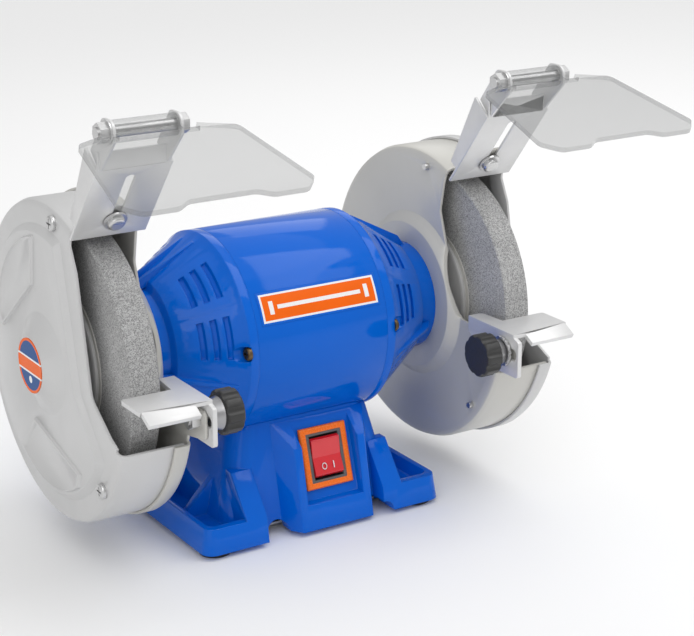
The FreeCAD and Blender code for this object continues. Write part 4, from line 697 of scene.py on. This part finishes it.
class GRINDER_OT_shields(bpy.types.Operator):
    """Clear plastic eye shields, denser where they are seen edge-on"""

    bl_idname = "grinder.shields"
    bl_label = "Eye shields"

    def execute(self, context):
        material = moulded(
            "clear_plastic", colours().clear, depth=0.01, rough=(0.04, 0.08), IOR=CLEAR_IOR)
        tree = material.node_tree
        facing = tree.nodes.new("ShaderNodeLayerWeight")
        facing.inputs["Blend"].default_value = SHIELD_BLEND
        density = remap(tree, facing.outputs["Facing"], FULL_RANGE, *SHIELD_DENSITY)
        tree.links.new(density, node_of(tree, "BSDF_PRINCIPLED").inputs["Alpha"])
        edge = moulded(
            "clear_edge", colours().clear_edge, depth=0.02, rough=(0.1, 0.2),
            IOR=CLEAR_IOR, Alpha=SHIELD_EDGE_ALPHA)
        names = ["eye_shield_left", "eye_shield_right"]
        dress(names, material)
        across = Vector((0.0, math.sin(SHIELD_TILT), math.cos(SHIELD_TILT)))

        def cut_edge(face):
            reach = math.hypot(face.center.y - HINGE_Y, face.center.z - HINGE_Z)
            return abs(face.normal.dot(across)) < EDGE_ON and reach > HINGE_EYE_REACH

        for name in names:
            refinish(frame["nodes"][name], edge, cut_edge)
        return {"FINISHED"}


class GRINDER_OT_mouldings(bpy.types.Operator):
    """Knobs, switch, gland and rubber feet"""

    bl_idname = "grinder.mouldings"
    bl_label = "Mouldings"

    def execute(self, context):
        tint = colours()
        width = sizes().moulding_round
        black = moulded("black_plastic", tint.black, depth=0.2, rough=(0.35, 0.5))
        dress(["cable_gland"], black)
        hub = brushed("knob_hub", tint.steel, rough=(0.3, 0.42))
        for side, _ in SIDES:
            knob = rounded("knob_head_" + side, width, black)
            low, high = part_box("knob_head_" + side)
            start = max(abs(low.x), abs(high.x)) - KNOB_HUB_LENGTH + KNOB_HUB_MARGIN
            refinish(knob, hub, lambda face: abs(face.center.x) > start)
        grey = moulded("grey_plastic", tint.grey, depth=0.1, rough=(0.25, 0.35))
        dress(["switch_body"], grey)
        orange = moulded("orange_plastic", tint.orange, depth=0.02, rough=(0.24, 0.3))
        rounded("switch_bezel", width, orange)
        red = moulded(
            "red_plastic", tint.red, depth=0.03, rough=(0.08, 0.14), **{"Coat Weight": 0.7})
        dress(["switch_rocker"], red)
        rubber = moulded("rubber", tint.rubber, depth=0.4, rough=(0.7, 0.85))
        dress(["rubber_feet"], rubber)
        return {"FINISHED"}


def label_material(name):
    """Orange label material, with the output of its colour and of each object axis to print by."""
    material = moulded(
        name, colours().print_orange, depth=0.02, rough=(0.3, 0.4), **{"Specular IOR Level": 0.2})
    tree = material.node_tree
    place = tree.nodes.new("ShaderNodeTexCoord")
    axes = tree.nodes.new("ShaderNodeSeparateXYZ")
    tree.links.new(place.outputs["Object"], axes.inputs["Vector"])
    return material, node_of(tree, "GROUP").outputs["Colour"], axes.outputs


def print_label(material, layers):
    """Lay colours over each other on a label, each after the first through its mask."""
    tree = material.node_tree
    (_, tint), *rest = layers
    for mask, over in rest:
        mix = tree.nodes.new("ShaderNodeMix")
        mix.data_type = "RGBA"
        tree.links.new(mask, mix.inputs["Factor"])
        feed(tree, tint, mix.inputs["A"])
        feed(tree, over, mix.inputs["B"])
        tint = mix.outputs["Result"]
    tree.links.new(tint, node_of(tree, "BSDF_PRINCIPLED").inputs["Base Color"])


def math_node(tree, kind, *operands):
    """Math node with linked or fixed operands."""
    node = tree.nodes.new("ShaderNodeMath")
    node.operation = kind
    for socket, value in zip(node.inputs, operands):
        feed(tree, value, socket)
    return node.outputs["Value"]


def away(tree, value, place):
    """Distance of a value from a place."""
    return math_node(tree, "ABSOLUTE", math_node(tree, "SUBTRACT", value, place))


def past_either(tree, across, along, limits):
    """Mask of what lies past either limit."""
    return math_node(
        tree, "MAXIMUM", math_node(tree, "GREATER_THAN", across, limits[0]),
        math_node(tree, "GREATER_THAN", along, limits[1]))


def within_both(tree, across, along, limits):
    """Mask of what lies within both limits."""
    return math_node(
        tree, "MULTIPLY", math_node(tree, "LESS_THAN", across, limits[0]),
        math_node(tree, "LESS_THAN", along, limits[1]))


def motor_print():
    """Motor label: a blue rim, a white frame, and a white bar between two ticks, on orange."""
    size = sizes()
    material, orange, axes = label_material("motor_label")
    tree = material.node_tree
    turn = math_node(
        tree, "ARCTAN2", math_node(tree, "SUBTRACT", axes["Z"], SHAFT_HEIGHT),
        math_node(tree, "MULTIPLY", axes["Y"], -1.0))
    across = away(tree, turn, (size.label_low + size.label_high) / 2)
    across = math_node(tree, "DIVIDE", across, (size.label_high - size.label_low) / 2)
    along = math_node(tree, "ABSOLUTE", axes["X"])
    along = math_node(tree, "DIVIDE", along, size.label_length / 2)
    bar = within_both(tree, across, along, LABEL_BAR)
    tick = within_both(tree, across, away(tree, along, LABEL_TICK_PLACE), LABEL_TICK)
    white = tuple(colours().white)
    print_label(material, (
        (None, orange),
        (math_node(tree, "MAXIMUM", bar, tick), white),
        (past_either(tree, across, along, LABEL_FRAME), white),
        (past_either(tree, across, along, LABEL_RIM), tuple(colours().enamel)),
    ))
    return material


class GRINDER_OT_motor_label(bpy.types.Operator):
    """Curved label on the front of the barrel"""

    bl_idname = "grinder.motor_label"
    bl_label = "Motor label"

    def execute(self, context):
        size = sizes()
        middle = (0.0, 0.0, SHAFT_HEIGHT)
        bpy.ops.object.select_all(action="DESELECT")
        bpy.ops.mesh.primitive_cylinder_add(
            vertices=LABEL_VERTICES, radius=size.barrel_radius + size.label_lift * LABEL_STANDOFF,
            depth=size.label_length, end_fill_type="NOTHING", location=middle,
            rotation=(0.0, math.pi / 2, 0.0))
        cuts = [(0.0, side * math.sin(turn), side * math.cos(turn))
                for turn, side in ((size.label_low, -1.0), (size.label_high, 1.0))]
        cuts.append((0.0, 1.0, 0.0))
        bpy.ops.object.mode_set(mode="EDIT")
        for normal in cuts:
            bpy.ops.mesh.select_all(action="SELECT")
            bpy.ops.mesh.bisect(
                plane_co=middle, plane_no=normal, clear_outer=True, clear_inner=False)
        bpy.ops.object.mode_set(mode="OBJECT")
        skin = context.object.modifiers.new("thickness", "SOLIDIFY")
        skin.thickness = size.label_lift
        skin.offset = 1.0
        bpy.ops.object.modifier_apply(modifier=skin.name)
        bpy.ops.object.shade_smooth_by_angle(angle=DRESSED_SMOOTH)
        added("motor_label", motor_print(), "housing")
        return {"FINISHED"}


def cover_print():
    """Cover label: an orange rim, and an orange band edged in white over a white spot, on blue."""
    size = sizes()
    material, orange, axes = label_material("cover_label")
    tree = material.node_tree
    up = math_node(tree, "SUBTRACT", axes["Z"], SHAFT_HEIGHT)
    up = math_node(tree, "DIVIDE", up, size.badge_radius)
    across = math_node(tree, "DIVIDE", axes["Y"], size.badge_radius)

    def reach(middle):
        rise = math_node(tree, "SUBTRACT", up, middle)
        squares = [math_node(tree, "POWER", value, 2.0) for value in (across, rise)]
        return math_node(tree, "SQRT", math_node(tree, "ADD", *squares))

    height = math_node(tree, "ABSOLUTE", up)
    white = tuple(colours().white)
    print_label(material, (
        (None, tuple(colours().print_blue)),
        (math_node(tree, "LESS_THAN", reach(BADGE_SPOT_PLACE), BADGE_SPOT), white),
        (math_node(tree, "GREATER_THAN", reach(0.0), BADGE_RIM), orange),
        (math_node(tree, "LESS_THAN", height, BADGE_BAND_EDGE), white),
        (math_node(tree, "LESS_THAN", height, BADGE_BAND), orange),
    ))
    return material


class GRINDER_OT_cover_labels(bpy.types.Operator):
    """Round label on the boss of each outer cover"""

    bl_idname = "grinder.cover_labels"
    bl_label = "Cover labels"

    def execute(self, context):
        size = sizes()
        material = cover_print()
        for side, outward in SIDES:
            low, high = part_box("guard_" + side + "_outer")
            boss = low.x if outward < 0.0 else high.x
            bpy.ops.object.select_all(action="DESELECT")
            bpy.ops.mesh.primitive_cylinder_add(
                vertices=BADGE_VERTICES, radius=size.badge_radius, depth=size.badge_lift,
                location=(boss + outward * size.badge_lift / 2, 0.0, SHAFT_HEIGHT),
                rotation=(0.0, math.pi / 2, 0.0))
            piece = added("cover_label_" + side, material, "housing")
            piece.select_set(True)
            edit_faces(piece, lambda face: face.normal.x * outward > FACES_OUT)
            for inset, depth in BADGE_STEPS:
                bpy.ops.mesh.inset(
                    thickness=size.badge_radius * inset, depth=size.badge_lift * depth)
            bpy.ops.object.mode_set(mode="OBJECT")
            bpy.ops.object.shade_smooth_by_angle(angle=BADGE_SMOOTH)
            piece.select_set(False)
        return {"FINISHED"}


class GRINDER_OT_rocker_marks(bpy.types.Operator):
    """Off and on marks on the rocker"""

    bl_idname = "grinder.rocker_marks"
    bl_label = "Rocker marks"

    def execute(self, context):
        print_white = moulded("white_print", colours().white, depth=0.02, rough=(0.3, 0.4))
        low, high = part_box("switch_rocker")
        centre = (low + high) / 2
        depth, rise = low.y + MARK_DEPTH, low.z + MARK_RISE
        bpy.ops.object.select_all(action="DESELECT")
        bpy.ops.mesh.primitive_torus_add(
            major_segments=32, minor_segments=8,
            major_radius=OFF_MARK_RADIUS, minor_radius=OFF_MARK_LINE,
            location=(centre.x - MARK_OFFSET, depth, rise), rotation=(MARK_LEAN, 0.0, 0.0))
        context.object.scale = OFF_MARK_SCALE
        bpy.ops.object.shade_smooth()
        added("rocker_mark_off", print_white, "rocker")
        bpy.ops.object.select_all(action="DESELECT")
        bpy.ops.mesh.primitive_cube_add(
            size=1.0, location=(centre.x + MARK_OFFSET, depth, rise),
            rotation=(MARK_LEAN, 0.0, 0.0), scale=ON_MARK_SIZE)
        bpy.ops.object.transform_apply(location=False, rotation=False, scale=True)
        bpy.ops.object.mode_set(mode="EDIT")
        bpy.ops.mesh.select_all(action="SELECT")
        bpy.ops.mesh.bevel(offset=ON_MARK_ROUND, segments=2, affect="EDGES")
        bpy.ops.object.mode_set(mode="OBJECT")
        added("rocker_mark_on", print_white, "rocker")
        return {"FINISHED"}


def lay_floor(context):
    """Pale matt floor."""
    bpy.ops.object.select_all(action="DESELECT")
    bpy.ops.mesh.primitive_plane_add(size=sizes().floor_size, location=(0.0, 0.0, 0.0))
    floor = context.object
    floor.name = "studio_floor"
    paper, shader = new_material("studio_floor")
    shader.inputs["Base Color"].default_value = colours().floor
    shader.inputs["Roughness"].default_value = 0.9
    shader.inputs["Specular IOR Level"].default_value = 0.1
    floor.data.materials.append(paper)


def set_world(context):
    """Soft white light all round, with a backdrop of the floor's tone for the camera."""
    world = bpy.data.worlds.new("studio")
    world.use_nodes = True
    tree = world.node_tree
    background = node_of(tree, "BACKGROUND")
    background.inputs["Color"].default_value = WORLD_COLOUR
    background.inputs["Strength"].default_value = WORLD_STRENGTH
    backdrop = tree.nodes.new("ShaderNodeBackground")
    backdrop.inputs["Color"].default_value = BACKDROP_COLOUR
    path = tree.nodes.new("ShaderNodeLightPath")
    choose = tree.nodes.new("ShaderNodeMixShader")
    tree.links.new(path.outputs["Is Camera Ray"], choose.inputs["Fac"])
    tree.links.new(background.outputs["Background"], choose.inputs[1])
    tree.links.new(backdrop.outputs["Background"], choose.inputs[2])
    tree.links.new(choose.outputs["Shader"], node_of(tree, "OUTPUT_WORLD").inputs["Surface"])
    context.scene.world = world


def hang_lamps(context):
    """Lamps turned to the height of the shaft."""
    for name, kind, place, aim, width, power in LAMPS:
        bpy.ops.object.light_add(type=kind, location=place)
        lamp = context.object
        lamp.name = "studio_" + name
        lamp.data.energy = power
        if kind == "SUN":
            lamp.data.angle = width
        else:
            lamp.data.size = width
        flat = math.hypot(place[0] - aim, place[1])
        lean = math.atan2(flat, place[2] - SHAFT_HEIGHT)
        lamp.rotation_euler = (lean, 0.0, math.atan2(place[0] - aim, -place[1]))


def set_camera(context):
    """Camera at the photograph's view."""
    bpy.ops.object.camera_add(location=CAMERA_PLACE, rotation=(CAMERA_TILT, 0.0, CAMERA_TURN))
    camera = context.object
    camera.name = "studio_camera"
    camera.data.sensor_width = CAMERA_SENSOR
    camera.data.lens = sizes().camera_lens
    camera.data.clip_start = CAMERA_NEAR
    context.scene.camera = camera
    context.scene.view_settings.view_transform = "Standard"


class GRINDER_OT_stage(bpy.types.Operator):
    """Pale floor, soft lights and the camera at the photograph's view"""

    bl_idname = "grinder.stage"
    bl_label = "Studio"

    def execute(self, context):
        lay_floor(context)
        set_world(context)
        hang_lamps(context)
        set_camera(context)
        return {"FINISHED"}


class GRINDER_PT_panel(bpy.types.Panel):
    """Sidebar panel with the grinder's settings and steps"""

    bl_idname = "GRINDER_PT_panel"
    bl_label = "Bench Grinder"
    bl_space_type = "VIEW_3D"
    bl_region_type = "UI"
    bl_category = "Grinder"

    def draw(self, context):
        layout = self.layout
        for settings in (context.scene.grinder_sizes, context.scene.grinder_colours):
            box = layout.box()
            for name in settings.__annotations__:
                box.prop(settings, name)
        for step in STEPS:
            layout.operator(step.bl_idname)


STEPS = (
    GRINDER_OT_castings,
    GRINDER_OT_guards,
    GRINDER_OT_hardware,
    GRINDER_OT_wheels,
    GRINDER_OT_shields,
    GRINDER_OT_mouldings,
    GRINDER_OT_motor_label,
    GRINDER_OT_cover_labels,
    GRINDER_OT_rocker_marks,
    GRINDER_OT_stage,
)
CLASSES = (GrinderSizes, GrinderColours) + STEPS + (GRINDER_PT_panel,)


def register():
    """Add the classes and the scene's settings."""
    for item in CLASSES:
        bpy.utils.register_class(item)
    bpy.types.Scene.grinder_sizes = PointerProperty(type=GrinderSizes)
    bpy.types.Scene.grinder_colours = PointerProperty(type=GrinderColours)


def unregister():
    """Remove the scene's settings and the classes."""
    del bpy.types.Scene.grinder_colours
    del bpy.types.Scene.grinder_sizes
    for item in reversed(CLASSES):
        bpy.utils.unregister_class(item)


def main():
    """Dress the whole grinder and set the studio."""
    register()
    bpy.ops.grinder.castings()
    bpy.ops.grinder.guards()
    bpy.ops.grinder.hardware()
    bpy.ops.grinder.wheels()
    bpy.ops.grinder.shields()
    bpy.ops.grinder.mouldings()
    bpy.ops.grinder.motor_label()
    bpy.ops.grinder.cover_labels()
    bpy.ops.grinder.rocker_marks()
    bpy.ops.grinder.stage()


if __name__ == "__main__":
    main()
